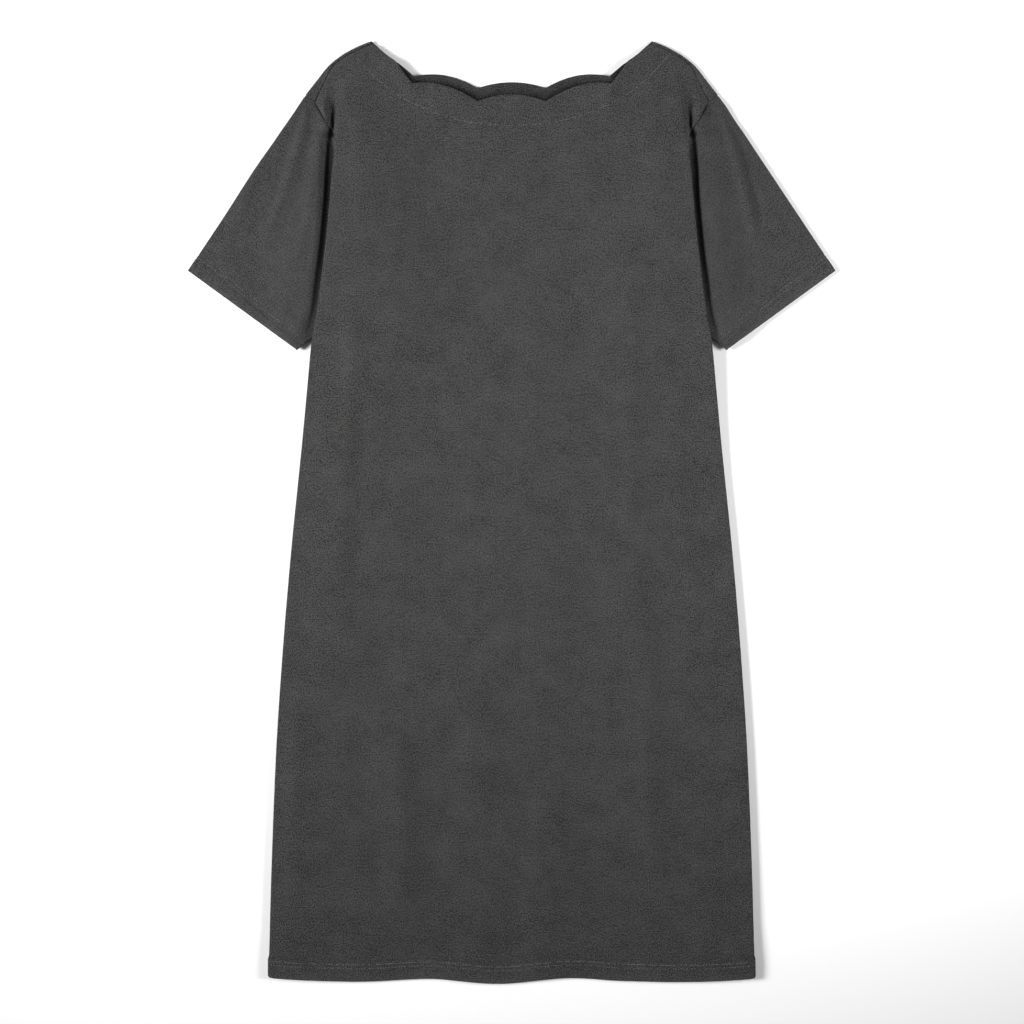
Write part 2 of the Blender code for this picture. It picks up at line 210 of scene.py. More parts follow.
ARMHOLE = [
    ("down", "front", "back"),
    (20, 13.4, 22.5),
    (61.5, 13.2, 16.4),
    (70, 9.4, 10.4),
    (80, 5.8, 5.6),
    (87, 4.4, 3.0),
    (93, 1.6, 0.6),
    (99, 0.5, 0.4),
    (105, 0.5, 0.5),
    (131, 4.4, 4.4),
    (172, 19.0, 19.0),
    (212, 31.0, 31.0),
    (252.7, 51.1, 51.1),
]
fold_half = curve(SECTIONS, "down", "fold")
rise = curve(SECTIONS, "down", "rise")
close = curve(SECTIONS, "down", "close")
turn_degrees = {panel: curve(SECTIONS, "down", panel + "_turn") for panel in ("front", "back")}
armhole_flap = {panel: curve(ARMHOLE, "down", panel) for panel in ("front", "back")}


def fold_start(down):
    """Where the flat cloth ends and the fold's curve begins."""
    return fold_half(down) - FOLD_REACH


def flap(panel, down):
    """Cloth past the fold: to the armhole seam, or below the underarm what the straight cut leaves."""
    straight = BODY_HALF - FOLD_LENGTH - fold_start(down)
    return np.where(down < UNDERARM[1], armhole_flap[panel](down), straight)


CREASE = float(fold_start(0))
print("pleat at the underarm:", round(float(flap("front", UNDERARM[1])), 1), "mm deep")

# %% [markdown]
# ## Creases and the lie of the front
#
# Jersey is heavy and soft, so it lies in long, low troughs and swells rather than sharp wrinkles. Each
# is one row of a table: a line from one place to another, bowed to a side, with its own width and
# height. They could come from a cloth simulation, but a dress that someone has smoothed by hand keeps
# only the faint folds that show here, and a table puts each of them where it belongs.

# %% Creases on the front
FRONT_CREASES = [
    ("x0", "down0", "x1", "down1", "bow", "width", "height"),
    (-148, 170, -178, 640, -5, 18, 3.0),
    (-124, 300, -150, 700, -4, 22, -1.2),
    (117, 150, 116, 560, 3, 16, 2.8),
    (114, 420, 142, 860, 6, 20, 3.0),
    (150, 200, 160, 520, 6, 22, -1.2),
    (160, 240, 200, 640, -12, 16, 3.0),
    (0, 100, 14, 640, 20, 62, 1.4),
    (-46, 330, -60, 720, 12, 30, -0.8),
    (52, 380, 62, 700, -10, 30, -0.8),
    (-222, 600, -222, 940, 0, 18, 2.2),
    (-188, 640, -176, 1000, -6, 18, -1.6),
    (-118, 600, -116, 960, 4, 20, 2.8),
    (-84, 700, -78, 1010, 4, 22, -1.8),
    (-30, 660, -36, 1010, 5, 30, 1.8),
    (32, 700, 38, 1000, -4, 24, 2.4),
    (76, 720, 84, 1010, 4, 22, -1.8),
    (126, 640, 150, 1000, 4, 20, 2.2),
    (186, 700, 194, 1000, 6, 22, -1.8),
    (-174, 122, -96, 196, 6, 12, -0.7),
    (172, 118, 104, 186, -6, 12, -0.7),
    (-178, 158, -110, 262, 10, 14, 0.8),
    (176, 150, 118, 256, -8, 14, 0.8),
    (-60, 92, -22, 148, 5, 14, -0.6),
    (58, 94, 30, 152, -5, 14, -0.6),
]
CREASE_FADES = 0.35


def creases(table, x, down):
    """Height of soft troughs and swells, each along its own bowed line."""
    total = np.zeros(np.broadcast(x, down).shape)
    for x0, down0, x1, down1, bow, width, height in table[1:]:
        run_x, run_down = x1 - x0, down1 - down0
        length = math.hypot(run_x, run_down)
        along = ((x - x0) * run_x + (down - down0) * run_down) / length**2
        aside = ((x - x0) * run_down - (down - down0) * run_x) / length
        aside = aside - bow * 4 * along * (1 - along)
        fade = between(along, 0.0, CREASE_FADES) * between(1 - along, 0.0, CREASE_FADES)
        total += height * fade * np.exp(-2 * (aside / width) ** 2)
    return total


print(len(FRONT_CREASES) - 1, "soft creases on the front")

# %% [markdown]
# ## How high the front lies
#
# The front isn't flat on the back. It puffs up a little over the air between them, rises at the sides over
# the plies of the pleats and sleeves, and stands highest beside the armholes, where the most cloth is
# bunched underneath. One function gives that height for any place, so every later step agrees with it.

# %% How high the front lies
NECK_PUFF = 5.6
BODY_PUFF = 3.6
PUFF_CHANGES = (90.0, 260.0)
SHELF = 20.0
SLOPE = 85.0
EDGE_SETTLES = 25.0
RIDGES_START = (2.0, 18.0)
FOLD_OPENS = (86.0, 100.0)
LOFT = [
    ("down", "loft"),
    (26, 0.0),
    (50, 2.6),
    (84, 4.4),
    (130, 5.2),
    (235, 5.0),
    (290, 2.8),
    (350, 0.8),
    (440, 0.0),
]
loft = curve(LOFT, "down", "loft")


def front_height(x, down):
    """Height of the front's middle: a puff over the back, rising over the plies at the sides."""
    turned_in = flap("front", down) * between(down, *FOLD_OPENS)
    shelf = fold_start(down) - turned_in - SHELF
    beside = between(np.abs(x), shelf - SLOPE, shelf)
    puff = NECK_PUFF + (BODY_PUFF - NECK_PUFF) * between(down, *PUFF_CHANGES)
    folds = creases(FRONT_CREASES, x, down)
    clear = between(fold_start(down) - np.abs(x), *RIDGES_START)
    folds = folds * (1 - beside) + np.maximum(folds, 0.0) * beside * clear
    return puff + (rise(down) + loft(down) - puff) * beside + folds


BESIDE_ARMHOLE = 200.0
side_height = float(rise(BESIDE_ARMHOLE) + loft(BESIDE_ARMHOLE))
print("front lies", NECK_PUFF, "mm up at the neck,", round(side_height, 1), "mm at the sides")

# %% [markdown]
# ## The dark fold at each armhole
#
# The deepest shadow on the dress is the fold where the body laps over the sleeve. The sleeve dives under
# the body there and swells again beside it. Higher up the same fold starts as a valley in the front
# itself, just inside the armhole seam, with a steep inner side and a softer outer one. Both tables give
# places as offsets from the body's fold.

# %% Tables of the valley and the swell
VALLEY = [
    ("down", "offset", "depth", "inner_width", "outer_width"),
    (26, -6.0, 0.0, 9.0, 9.0),
    (44, -4.6, 3.6, 9.0, 8.4),
    (56, -3.6, 6.2, 8.4, 7.4),
    (66, -2.8, 7.2, 7.6, 6.0),
    (76, -2.0, 7.8, 6.0, 4.8),
    (86, -0.8, 8.2, 4.0, 3.6),
    (92, -0.5, 8.6, 3.0, 3.6),
    (98, 1.5, 8.6, 2.6, 5.2),
    (106, 3.0, 6.5, 2.8, 6.0),
]
SWELL = [
    ("down", "offset", "height"),
    (44, -3.0, 0.0),
    (60, -2.0, 2.0),
    (76, -2.0, 4.4),
    (88, -2.8, 5.6),
    (95, -0.6, 6.2),
    (101, 2.8, 6.8),
    (111, 4.0, 7.8),
    (126, 3.2, 8.4),
    (141, 2.2, 8.4),
    (161, 1.0, 7.8),
    (212, 0.2, 6.8),
    (238, 0.0, 5.5),
    (263, 0.0, 4.5),
    (290, 3.0, 3.6),
    (312, 5.0, 3.0),
    (330, 5.4, 2.2),
]
SWELL_RISES = (1.0, 12.0)
SWELL_FALLS = (12.0, 62.0)
SWELL_CLEAR = (2.0, 26.0)
SWELL_CLEAR_INSIDE = (0.0, 14.0)
VALLEY_ENDS = (98.0, 110.0)
valley_offset = curve(VALLEY, "down", "offset")
valley_depth = curve(VALLEY, "down", "depth")
valley_inner = curve(VALLEY, "down", "inner_width")
valley_outer = curve(VALLEY, "down", "outer_width")
swell_offset = curve(SWELL, "down", "offset")
swell_height = curve(SWELL, "down", "height")
deepest, highest = [max(row[2] for row in table[1:]) for table in (VALLEY, SWELL)]
print("valley", deepest, "mm deep, swell", highest, "mm high")

# %% [markdown]
# ## Valley and swell as heights
#
# The swell has to die out before the sleeve's own folds, or it would push them off their lines. So it also
# counts how far a place lies inside the sleeve's two straight sides, which run from the shoulder's end and
# from the underarm to the hem. The valley needs only its distance from the body's fold.

# %% Height of the swell and depth of the valley
def sleeve_side(start, end, side):
    """A straight side of the sleeve: its start and end, the way along it, and the way out of it."""
    start, end = np.array(start), np.array(end)
    along = (end - start) / np.linalg.norm(end - start)
    return start, end, along, side * np.array((along[1], -along[0]))


OUTER_START, OUTER_END, ALONG_SLEEVE, OUTWARD = sleeve_side(SHOULDER_END, SLEEVE_HEM_OUTER, 1)
_, INNER_END, _, INWARD = sleeve_side(UNDERARM, SLEEVE_HEM_INNER, -1)


def inside_of(half, down, start, out):
    """How far a place lies inside one of the sleeve's sides."""
    return -((half - start[0]) * out[0] + (down - start[1]) * out[1])


def swell(half, down):
    """Height of the cloth's swell beside the fold, dying out towards the sleeve's own folds."""
    aside = half - fold_half(down) - swell_offset(down)
    shape = between(aside, *SWELL_RISES) * (1 - between(aside, *SWELL_FALLS))
    clear = between(inside_of(half, down, OUTER_START, OUTWARD), *SWELL_CLEAR)
    clear = clear * between(inside_of(half, down, INNER_END, INWARD), *SWELL_CLEAR_INSIDE)
    return swell_height(down) * shape * clear


def valley(half, down):
    """Depth of the valley in the front above the fold, steeper on its inner side."""
    aside = half - fold_half(down) - valley_offset(down)
    width = np.where(aside < 0, valley_inner(down), valley_outer(down))
    return valley_depth(down) * np.exp(-((aside / width) ** 2))


print("sleeve runs", [round(float(part), 2) for part in ALONG_SLEEVE], "out and down")

# %% [markdown]
# ## Scalloped neck and wavy hem
#
# The neck is cut in five shallow scallops on each panel and turned in over a facing. Beside the neck point
# the edges lean over a little, more on the front than on the back, and a second table says by how much.
# The hem was stitched on a twin-needle machine, which lets it wave, and its corners are a little round.

# %% Scallops and hem
FRONT_NECK = [
    ("half", "down", "bulge"),
    (141.5, 3.7, 2.4),
    (100.5, 44.2, 7.4),
    (34.4, 61.8, 6.7),
    (-34.4, 61.8, 0),
]
BACK_NECK = [
    ("half", "down", "bulge"),
    (141.5, 0.6, 1.0),
    (98.7, 36.3, 7.4),
    (34.2, 47.5, 5.9),
    (-34.2, 47.5, 0),
]
NECK_LAP = [
    ("share", "front", "back"),
    (0.0, 0.0, 0.0),
    (0.1, 2.2, -0.3),
    (0.34, 2.4, -0.9),
    (0.56, 4.2, -0.7),
    (0.75, 2.0, 0.0),
    (1.0, 0.0, 0.0),
]
SCALLOP_STEPS = (18, 24, 12)
HEM_WAVE = [
    ("x", "rise"),
    (-246.5, 8.4),
    (-244.5, 6.7),
    (-241, 6.0),
    (-184, 2.8),
    (-154, 2.1),
    (-87, 4.9),
    (-14, 0.0),
    (59, 5.8),
    (108, 3.0),
    (168, 1.9),
    (241, 5.1),
    (244.5, 5.8),
    (246.5, 7.5),
]
hem_rise = curve(HEM_WAVE, "x", "rise")


def scallops(neck, panel):
    """Points along half of a scalloped neck edge, from the neck point to the centre."""
    lap = curve(NECK_LAP, "share", panel)
    points = [neck[1][:2]]
    for i, steps in enumerate(SCALLOP_STEPS, start=1):
        (x0, down0, bulge), (x1, down1, _) = neck[i], neck[i + 1]
        whole = steps if x1 > 0 else 2 * steps
        chord = math.hypot(x1 - x0, down1 - down0)
        for step in range(1, steps + 1):
            t = step / whole
            out = bulge * 4 * t * (1 - t) / chord
            over = float(lap(t)) / chord if i == 1 else 0.0
            points.append((x0 + (x1 - x0) * t + (out - over) * (down1 - down0),
                           down0 + (down1 - down0) * t - (out + over) * abs(x1 - x0)))
    return points


print("scallops of", [round(row[2], 1) for row in FRONT_NECK[1:-1]], "mm")

# %% [markdown]
# ## The shoulder seam
#
# The back is cut higher than the front at the shoulder, so its cloth comes over the fold and is sewn to
# the front's edge on the upper side. `wrap_end` says where the back's cloth ends, and the front starts a
# seam's gap further down. Both come from the same points, so the gap is even along the whole seam.

# %% The shoulder seam
SEAM_POINTS = 5


def shoulder_frame(x):
    """At a place on the shoulder fold: the point, the direction out of the garment, the radius."""
    slope = shoulder_down(x + 0.5) - shoulder_down(x - 0.5)
    out = np.array((slope, -1.0)) / math.hypot(slope, 1.0)
    return np.array((x, shoulder_down(x))), out, (edge_level(x) - FLOOR_PLY) / 2


def wrap_end(x):
    """Where the back's cloth ends on the front: along the shoulder seam, to the armhole."""
    place, out, radius = shoulder_frame(min(x, CREASE))
    start = place - (radius + WRAP_AT_NECK) * out
    share = max(0.0, (x - CREASE) / (SHOULDER_END[0] - CREASE))
    return start + (np.array(SEAM_TIP) - start) * share


def front_shoulder_down(x):
    """The front's edge at the shoulder seam, a seam's gap from the back's cloth."""
    places = (*np.linspace(NECK_POINT_HALF, CREASE, SEAM_POINTS), SHOULDER_END[0])
    ends = [wrap_end(place) for place in places]
    i = min(max(sum(end[0] < x for end in ends), 1), len(ends) - 1)
    before, after = ends[i - 1], ends[i]
    slope = (after[1] - before[1]) / (after[0] - before[0])
    return before[1] + (x - before[0]) * slope + SEAM_GAP * math.hypot(1.0, slope)


print("shoulder seam ends", round(float(wrap_end(SHOULDER_END[0])[1]), 1), "mm down")

# %% [markdown]
# ## A panel as a fine grid
#
# A panel is a grid of columns, from the neck or shoulder to the hem, crossed by rows. A column knows
# where it starts and how far it lies past the fold. Rows follow the neck at the top and the hem at the
# bottom, and they crowd together where stitching will pull the cloth.

# %% Columns and rows
SHOULDER_STEPS = 16
FOLD_STEPS = 8
FLAP_STEPS = 8
ROW_RUNS = [
    ("start", "end", "steps"),
    (30.0, 56.0, 26),
    (56.0, 110.0, 48),
    (110.0, 130.0, 8),
    (130.0, 900.0, 116),
    (900.0, 930.0, 8),
    (930.0, 944.0, 20),
    (944.0, 955.0, 9),
]
NECK_FADES = 138.0
HEM_STARTS = 820.0
rows = np.concatenate([np.linspace(start, end, steps, endpoint=False)
                       for start, end, steps in ROW_RUNS[1:]] + [[LENGTH]])


def half_columns(panel, neck):
    """Half of a panel's columns: an array of (top half-width, top down, fold share, flap share)."""
    top_edge = shoulder_down if panel == "back" else front_shoulder_down
    found = [(x, down, 0.0, 0.0) for x, down in reversed(scallops(neck, panel))]
    for step in range(1, SHOULDER_STEPS + 1):
        x = NECK_POINT_HALF + (CREASE - NECK_POINT_HALF) * step / SHOULDER_STEPS
        found.append((x, float(top_edge(x)), 0.0, 0.0))
    for step in range(1, FOLD_STEPS + 1):
        x = CREASE + FOLD_LENGTH * step / FOLD_STEPS
        found.append((x, float(top_edge(x)), step / FOLD_STEPS, 0.0))
    for step in range(1, FLAP_STEPS + 1):
        x = CREASE + FOLD_LENGTH + float(flap(panel, 0)) * step / FLAP_STEPS
        found.append((x, float(top_edge(x)), 1.0, step / FLAP_STEPS))
    return np.array(found)


def row_down(row, top_down, x):
    """How far down a grid row lies: it follows the neck at the top and the wave at the hem."""
    neck_share = np.maximum(0.0, (NECK_FADES - row) / (NECK_FADES - rows[0]))
    hem_share = between(row, HEM_STARTS, LENGTH)
    return row + (top_down - rows[0]) * neck_share - hem_share * hem_rise(x)


front_half = half_columns("front", FRONT_NECK)
back_half = half_columns("back", BACK_NECK)
print("panels of", len(rows), "rows and", 2 * len(front_half) - 1, "columns")

# %% [markdown]
# ## From the grid to places
#
# Going outwards, a row lies flat to the fold, turns on a small radius and comes back under the panel, by
# as much as the section tables say. The front's level is its lie, less what has turned under, with the
# valley, the swell and the roll at the armhole seam. A bend modifier turns a whole panel by one angle, and
# this fold opens towards the shoulder, so it is worked out row by row.

# %% A panel's places
SEAM_DIP = 0.9
SEAM_ROLL = 1.7
CLOSE_SHARE = 1 / 3
LEAST_TURN = 1e-4


def seam_dip(distance):
    """How far cloth rolls down at a seam, from the distance to it."""
    return SEAM_DIP * np.exp(-((distance / SEAM_ROLL) ** 2))


def panel_place(panel, sign, columns, down):
    """Places of the panel's middle as (x, down, z), and the length along the cloth from the centre."""
    top_half, top_down, fold_share, flap_share = np.moveaxis(columns, -1, 0)
    fold = fold_start(down)
    flat = np.where(fold_share > 0, fold, top_half / fold_start(top_down) * fold)
    angle = np.radians(turn_degrees[panel](down))
    bent = angle * fold_share
    radius = FOLD_LENGTH / np.maximum(angle, LEAST_TURN)
    length = flap(panel, down) * flap_share
    x = flat + radius * np.sin(bent) + length * np.cos(bent)
    under = radius * (1 - np.cos(bent)) + length * np.sin(bent)
    under = under + close(down) * np.maximum(0.0, (flap_share - 1) / CLOSE_SHARE + 1)
    if panel == "front":
        open_share = 1 - between(down, *FOLD_OPENS)
        from_seam = flap(panel, down) * (1 - flap_share)
        level = front_height(sign * flat, down) - under
        level = level - valley(x, down) * (1 - between(down, *VALLEY_ENDS))
        level = level + (swell(x, down) - seam_dip(from_seam) * (fold_share >= 1)) * open_share
        settled = between(down - top_down, 0.0, EDGE_SETTLES)
        level = edge_level(top_half) * (1 - settled) + level * settled
    else:
        level = FLOOR_PLY + under
    return np.stack([sign * x, down, level], axis=-1), flat + FOLD_LENGTH * fold_share + length


def panel_grid(panel, half):
    """The panel's middle as a grid [row, column] of places, and its cloth's own flat places."""
    columns = np.concatenate([half[:0:-1], half])
    sign = np.concatenate([-np.ones(len(half) - 1), np.ones(len(half))])
    columns = np.broadcast_to(columns, (len(rows), *columns.shape))
    top_down = columns[..., 1]
    near = panel_place(panel, sign, columns, row_down(rows[:, None], top_down, sign * columns[..., 0]))
    down = row_down(rows[:, None], top_down, near[0][..., 0])
    places, out = panel_place(panel, sign, columns, down)
    return places, np.stack([sign * out, down], axis=-1)


print("folds of", FOLD_RADIUS, "mm radius")

# %% [markdown]
# ## From a middle surface to cloth
#
# Cloth has two faces and a rounded edge. `Cloth` collects the middle surface of one piece, then gives
# it its thickness: a face on each side, and a small half-round along every open edge, which is how a
# turned edge catches the light. A solidify modifier would leave that edge square. Two more things are
# kept with each place: where it was on the flat cloth, and one share for its colour, which pales worn
# hems and, below zero, darkens the facing with painted shade.

# %% Cloth with rounded edges
EDGE_ROUND = np.radians((45.0, 90.0, 135.0))
SHORTEST = 1e-12


def unit(vectors):
    """The same directions, one long."""
    return vectors / np.maximum(np.linalg.norm(vectors, axis=-1, keepdims=True), SHORTEST)


def new_object(name, data):
    """Puts a mesh, lamp or camera into the scene under a name."""
    thing = bpy.data.objects.new(name, data)
    bpy.context.scene.collection.objects.link(thing)
    return thing


class Cloth:
    """The middle surface of a piece: places in millimetres, flat cloth places, four-sided faces."""

    def __init__(self):
        self.places, self.flat, self.wear, self.faces, self.count = [], [], [], [], 0

    def add(self, places, flat, wear=0.0):
        """Adds places of any shape with hem wear and painted shade, and numbers them in the same shape."""
        numbers = self.count + np.arange(places[..., 0].size).reshape(places.shape[:-1])
        self.places.append(places.reshape(-1, 3))
        self.flat.append(flat.reshape(-1, 2))
        self.wear.append(np.broadcast_to(wear, places.shape[:-1]).ravel())
        self.count += numbers.size
        return numbers

    def weave(self, numbers):
        """Faces of a grid of place numbers. Its outer side is where rows and columns turn right."""
        corners = (numbers[:-1, :-1], numbers[:-1, 1:], numbers[1:, 1:], numbers[1:, :-1])
        self.faces.append(np.stack([corner.ravel() for corner in corners], axis=-1))

    def make(self, name, thickness):
        """The piece as an object, with flat places, wear and painted shade kept for its finish as
        attributes.
        """
        middle = to_metres(np.concatenate(self.places))
        flat = np.concatenate(self.flat) * MM
        faces = np.concatenate(self.faces)
        half = thickness * MM / 2
        across = middle[faces[:, 2]] - middle[faces[:, 0]]
        side = middle[faces[:, 3]] - middle[faces[:, 1]]
        face_out = np.cross(across, side)
        out = np.zeros_like(middle)
        for corner in range(4):
            np.add.at(out, faces[:, corner], face_out)
        out = unit(out)

        edges = np.concatenate([faces[:, (i, (i + 1) % 4)] for i in range(4)])
        known = {(a, b) for a, b in edges.tolist()}
        border = np.array([(a, b) for a, b in edges.tolist() if (b, a) not in known])
        away = np.zeros_like(middle)
        push = np.cross(unit(middle[border[:, 1]] - middle[border[:, 0]]), out[border[:, 0]])
        np.add.at(away, border[:, 0], push)
        np.add.at(away, border[:, 1], push)
        rim = np.unique(border)
        away[rim] = unit(away[rim])
        centre = middle - half * away

        points = [centre + half * out, centre - half * out]
        rings = [np.arange(len(middle))]
        for i, angle in enumerate(EDGE_ROUND):
            turned = out[rim] * math.cos(angle) + away[rim] * math.sin(angle)
            points.append(centre[rim] + half * turned)
            ring = np.zeros(len(middle), int)
            ring[rim] = 2 * len(middle) + i * len(rim) + np.arange(len(rim))
            rings.append(ring)
        rings.append(np.arange(len(middle)) + len(middle))
        quads = [faces, faces[:, ::-1] + len(middle)]
        start, end = border[:, 0], border[:, 1]
        for outer, inner in zip(rings, rings[1:]):
            quads.append(np.stack([outer[end], outer[start], inner[start], inner[end]], axis=-1))

        mesh = bpy.data.meshes.new(name)
        mesh.from_pydata(np.concatenate(points).tolist(), [], np.concatenate(quads).tolist())
        mesh.shade_smooth()
        kept = np.column_stack([flat, np.zeros(len(flat)), np.concatenate(self.wear)])
        kept = np.concatenate([kept, kept] + [kept[rim]] * len(EDGE_ROUND))
        cloth_place = mesh.attributes.new("cloth_place", "FLOAT_VECTOR", "POINT")
        cloth_place.data.foreach_set("vector", kept[:, :3].ravel())
        mesh.attributes.new("wear", "FLOAT", "POINT").data.foreach_set("value", kept[:, 3].ravel())
        print(name, len(mesh.polygons), "faces,", len(rim), "places round its edges")
        return new_object(name, mesh)


print("cloth edges rounded in", len(EDGE_ROUND) + 1, "steps")

# %% [markdown]
# ## What stitching does to jersey
#
# A line of stitches pulls a shallow groove, and the knit beside it puckers. On the front these lines
# are the neck facing's single row and the hem's twin rows. The hem's turned-up allowance also lifts the
# cloth a little below its stitches. All of that is geometry here, because side light shows it. Washing
# rubs the dye off a hem first, so `hem_wear` says how pale each place near it is.

# %% Lines of stitching
FACING_LINE = [
    ("half", "down"),
    (0.0, 86.3),
    (35.9, 84.0),
    (64.5, 77.7),
    (90.8, 68.2),
    (112.3, 57.6),
    (133.9, 41.4),
    (148.2, 27.0),
    (160.7, 12.7),
]
LINE_SLANT = 0.85
LINE_FADES = 4.0
HEM_ROWS = (13.3, 17.1)
HEM_GROOVES = [("above_edge", "share", "width"), (15.2, 1.6, 1.3), (19.5, 1.6, 1.2)]
HEM_FOLD = 11.3
ALLOWANCE_ENDS = 20.1
ALLOWANCE_LIFT = 0.45
GROOVE_DEPTH = 0.32
GROOVE_WIDTH = 1.5
PUCKER_HEIGHT = 0.3
NECK_PUCKER_HEIGHT = 0.15
NECK_PUCKER_SHIFT = 40.0
PUCKER_WIDTH = 9.0
PUCKER_WAVES = [
    ("wave", "share", "phase"),
    (6.3, 0.5, 0.4),
    (8.9, 0.6, 2.1),
    (14.7, 0.5, 4.0),
    (31.0, 0.5, 1.2),
]
RIDGE_WEAR = 0.4
RIDGE_WIDTH = 1.2
facing_line = curve(FACING_LINE, "half", "down")


def puckers(along):
    """An uneven ripple along a line of stitches."""
    waves = PUCKER_WAVES[1:]
    return sum(share * np.sin(2 * math.pi * along / wave + phase) for wave, share, phase in waves)


def groove(distance, width=GROOVE_WIDTH):
    """The shallow valley over a line of stitches, from the distance to it."""
    return -GROOVE_DEPTH * np.exp(-((distance / width) ** 2))


def hem_relief(along, above_edge):
    """Height of a turned-up hem: its allowance, the two rows of stitches, and puckers between them."""
    relief = ALLOWANCE_LIFT * between(above_edge, ALLOWANCE_ENDS, HEM_FOLD)
    for row, share, width in HEM_GROOVES[1:]:
        relief = relief + share * groove(above_edge - row, width)
    beside = np.exp(-(((above_edge - HEM_FOLD) / PUCKER_WIDTH) ** 2))
    return relief + PUCKER_HEIGHT * puckers(along) * beside


def hem_wear(above_edge):
    """How pale a hem has worn: most at its edge, and a little on the ridge over the upper stitches."""
    ridge = np.exp(-(((above_edge - HEM_ROWS[1]) / RIDGE_WIDTH) ** 2))
    return 1 - between(above_edge, 0.0, HEM_FOLD) + RIDGE_WEAR * ridge


def facing_relief(x, down):
    """Height of the cloth along the neck facing's stitches."""
    near = np.minimum(np.abs(x), FACING_LINE[-1][0])
    distance = (down - facing_line(near)) * LINE_SLANT
    beside = np.exp(-((distance / PUCKER_WIDTH) ** 2))
    inside = between(FACING_LINE[-1][0] + LINE_FADES - np.abs(x), 0.0, LINE_FADES)
    return (groove(distance) + NECK_PUCKER_HEIGHT * puckers(x + NECK_PUCKER_SHIFT) * beside) * inside


print("hem rows", HEM_ROWS, "mm above the edge")

# %% [markdown]
# ## The front
#
# The front is one panel. Its grid already holds the lie of the cloth and the pleats, so the stitched
# relief is added on its flat part only, fading out where the cloth turns under.

# %% Make the front
front_places, front_flat = panel_grid("front", front_half)
flatness = 1 - np.concatenate([front_half[:0:-1], front_half])[:, 2]
above_hem = LENGTH - hem_rise(front_places[..., 0]) - front_places[..., 1]
relief = hem_relief(front_places[..., 0], above_hem)
relief = relief + facing_relief(front_places[..., 0], front_places[..., 1])
front_places[..., 2] += relief * flatness
front_cloth = Cloth()
front_cloth.weave(front_cloth.add(front_places, front_flat, hem_wear(above_hem))[::-1])
front = front_cloth.make("front_panel", CLOTH)
front_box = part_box("front")
print("front height", round((front_box[1][2] - front_box[0][2]) / MM, 1), "mm in the packed model")

# %% [markdown]
# ## The back
#
# The back lies flat on the table, and comes over the shoulder fold to a seam on the front. That wrap is
# more rows of the same grid, rolled round a small radius and then laid on to the seam. Beside the neck
# points the back's edge curls up, which is why it shows as a dark wedge against the front.

# %% Make the back
WRAP_STEPS = 10
BACK_CREASES = [
    ("x0", "down0", "x1", "down1", "bow", "width", "height"),
    (-120, 160, -134, 640, 10, 26, 0.5),
    (96, 190, 118, 700, -12, 30, 0.5),
    (-20, 300, 8, 820, 14, 36, 0.45),
    (-70, 640, -76, 1010, 5, 24, 0.5),
    (60, 700, 66, 1010, -5, 26, 0.5),
]
NECK_CURL = [
    ("half", "lift"),
    (84, 0.0),
    (94, 1.8),
    (101, 4.6),
    (113, 5.2),
    (124, 2.8),
    (136, 0.3),
    (142, 0.0),
]
CURL_REACH = 14.0
curl = curve(NECK_CURL, "half", "lift")


def neck_curl(top_half, below):
    """How far the back's neck edge curls up, at a distance below the edge."""
    lift = np.where(top_half < NECK_POINT_HALF, curl(top_half), 0.0)
    return lift * (1 - between(below, 0.0, CURL_REACH))


back_places, back_flat = panel_grid("back", back_half)
back_columns = np.concatenate([back_half[:0:-1], back_half])
lift = creases(BACK_CREASES, back_places[..., 0], back_places[..., 1])
lift = lift + neck_curl(back_columns[:, 0], back_places[..., 1] - back_columns[:, 1])
back_places[..., 2] += lift * (1 - back_columns[:, 2])
back_cloth = Cloth()
back_above_hem = LENGTH - hem_rise(back_places[..., 0]) - back_places[..., 1]
back_numbers = back_cloth.add(back_places, back_flat, hem_wear(back_above_hem))
back_cloth.weave(back_numbers)
middle_column = len(back_half) - 1
shoulder_columns = np.arange(sum(SCALLOP_STEPS), len(back_half))
for sign in (-1, 1):
    run = [back_numbers[0][middle_column + sign * shoulder_columns]]
    for step in range(1, WRAP_STEPS + 2):
        angle = math.pi * min(step, WRAP_STEPS) / WRAP_STEPS
        places, flat = [], []
        for i in shoulder_columns:
            place, out, radius = shoulder_frame(back_half[i, 0])
            rolled = place - radius * out * (1 - math.sin(angle))
            where = wrap_end(back_half[i, 0]) if step > WRAP_STEPS else rolled
            level = FLOOR_PLY + radius * (1 - math.cos(angle))
            laid = where - rolled
            unrolled = place + radius * angle * out + laid - 2 * laid.dot(out) * out
            places.append((sign * where[0], where[1], level))
            flat.append((sign * unrolled[0], unrolled[1]))
        run.append(back_cloth.add(np.array(places), np.array(flat)))
    wrap = np.array(run)
    back_cloth.weave(wrap if sign < 0 else wrap[::-1])
back = back_cloth.make("back_panel", CLOTH)

# %% [markdown]
# ## The sleeves
#
# A short sleeve is a tube, pressed flat. Each ring runs down the front ply from the outer fold to the
# underarm, round the fold, and back along the other ply. At the armhole it follows the panels' edges a
# seam's gap away. Further out it comes down to the table, in creases that fan from the shoulder and
# aren't the same on both sleeves: rows with a negative x are the wearer's right sleeve's.

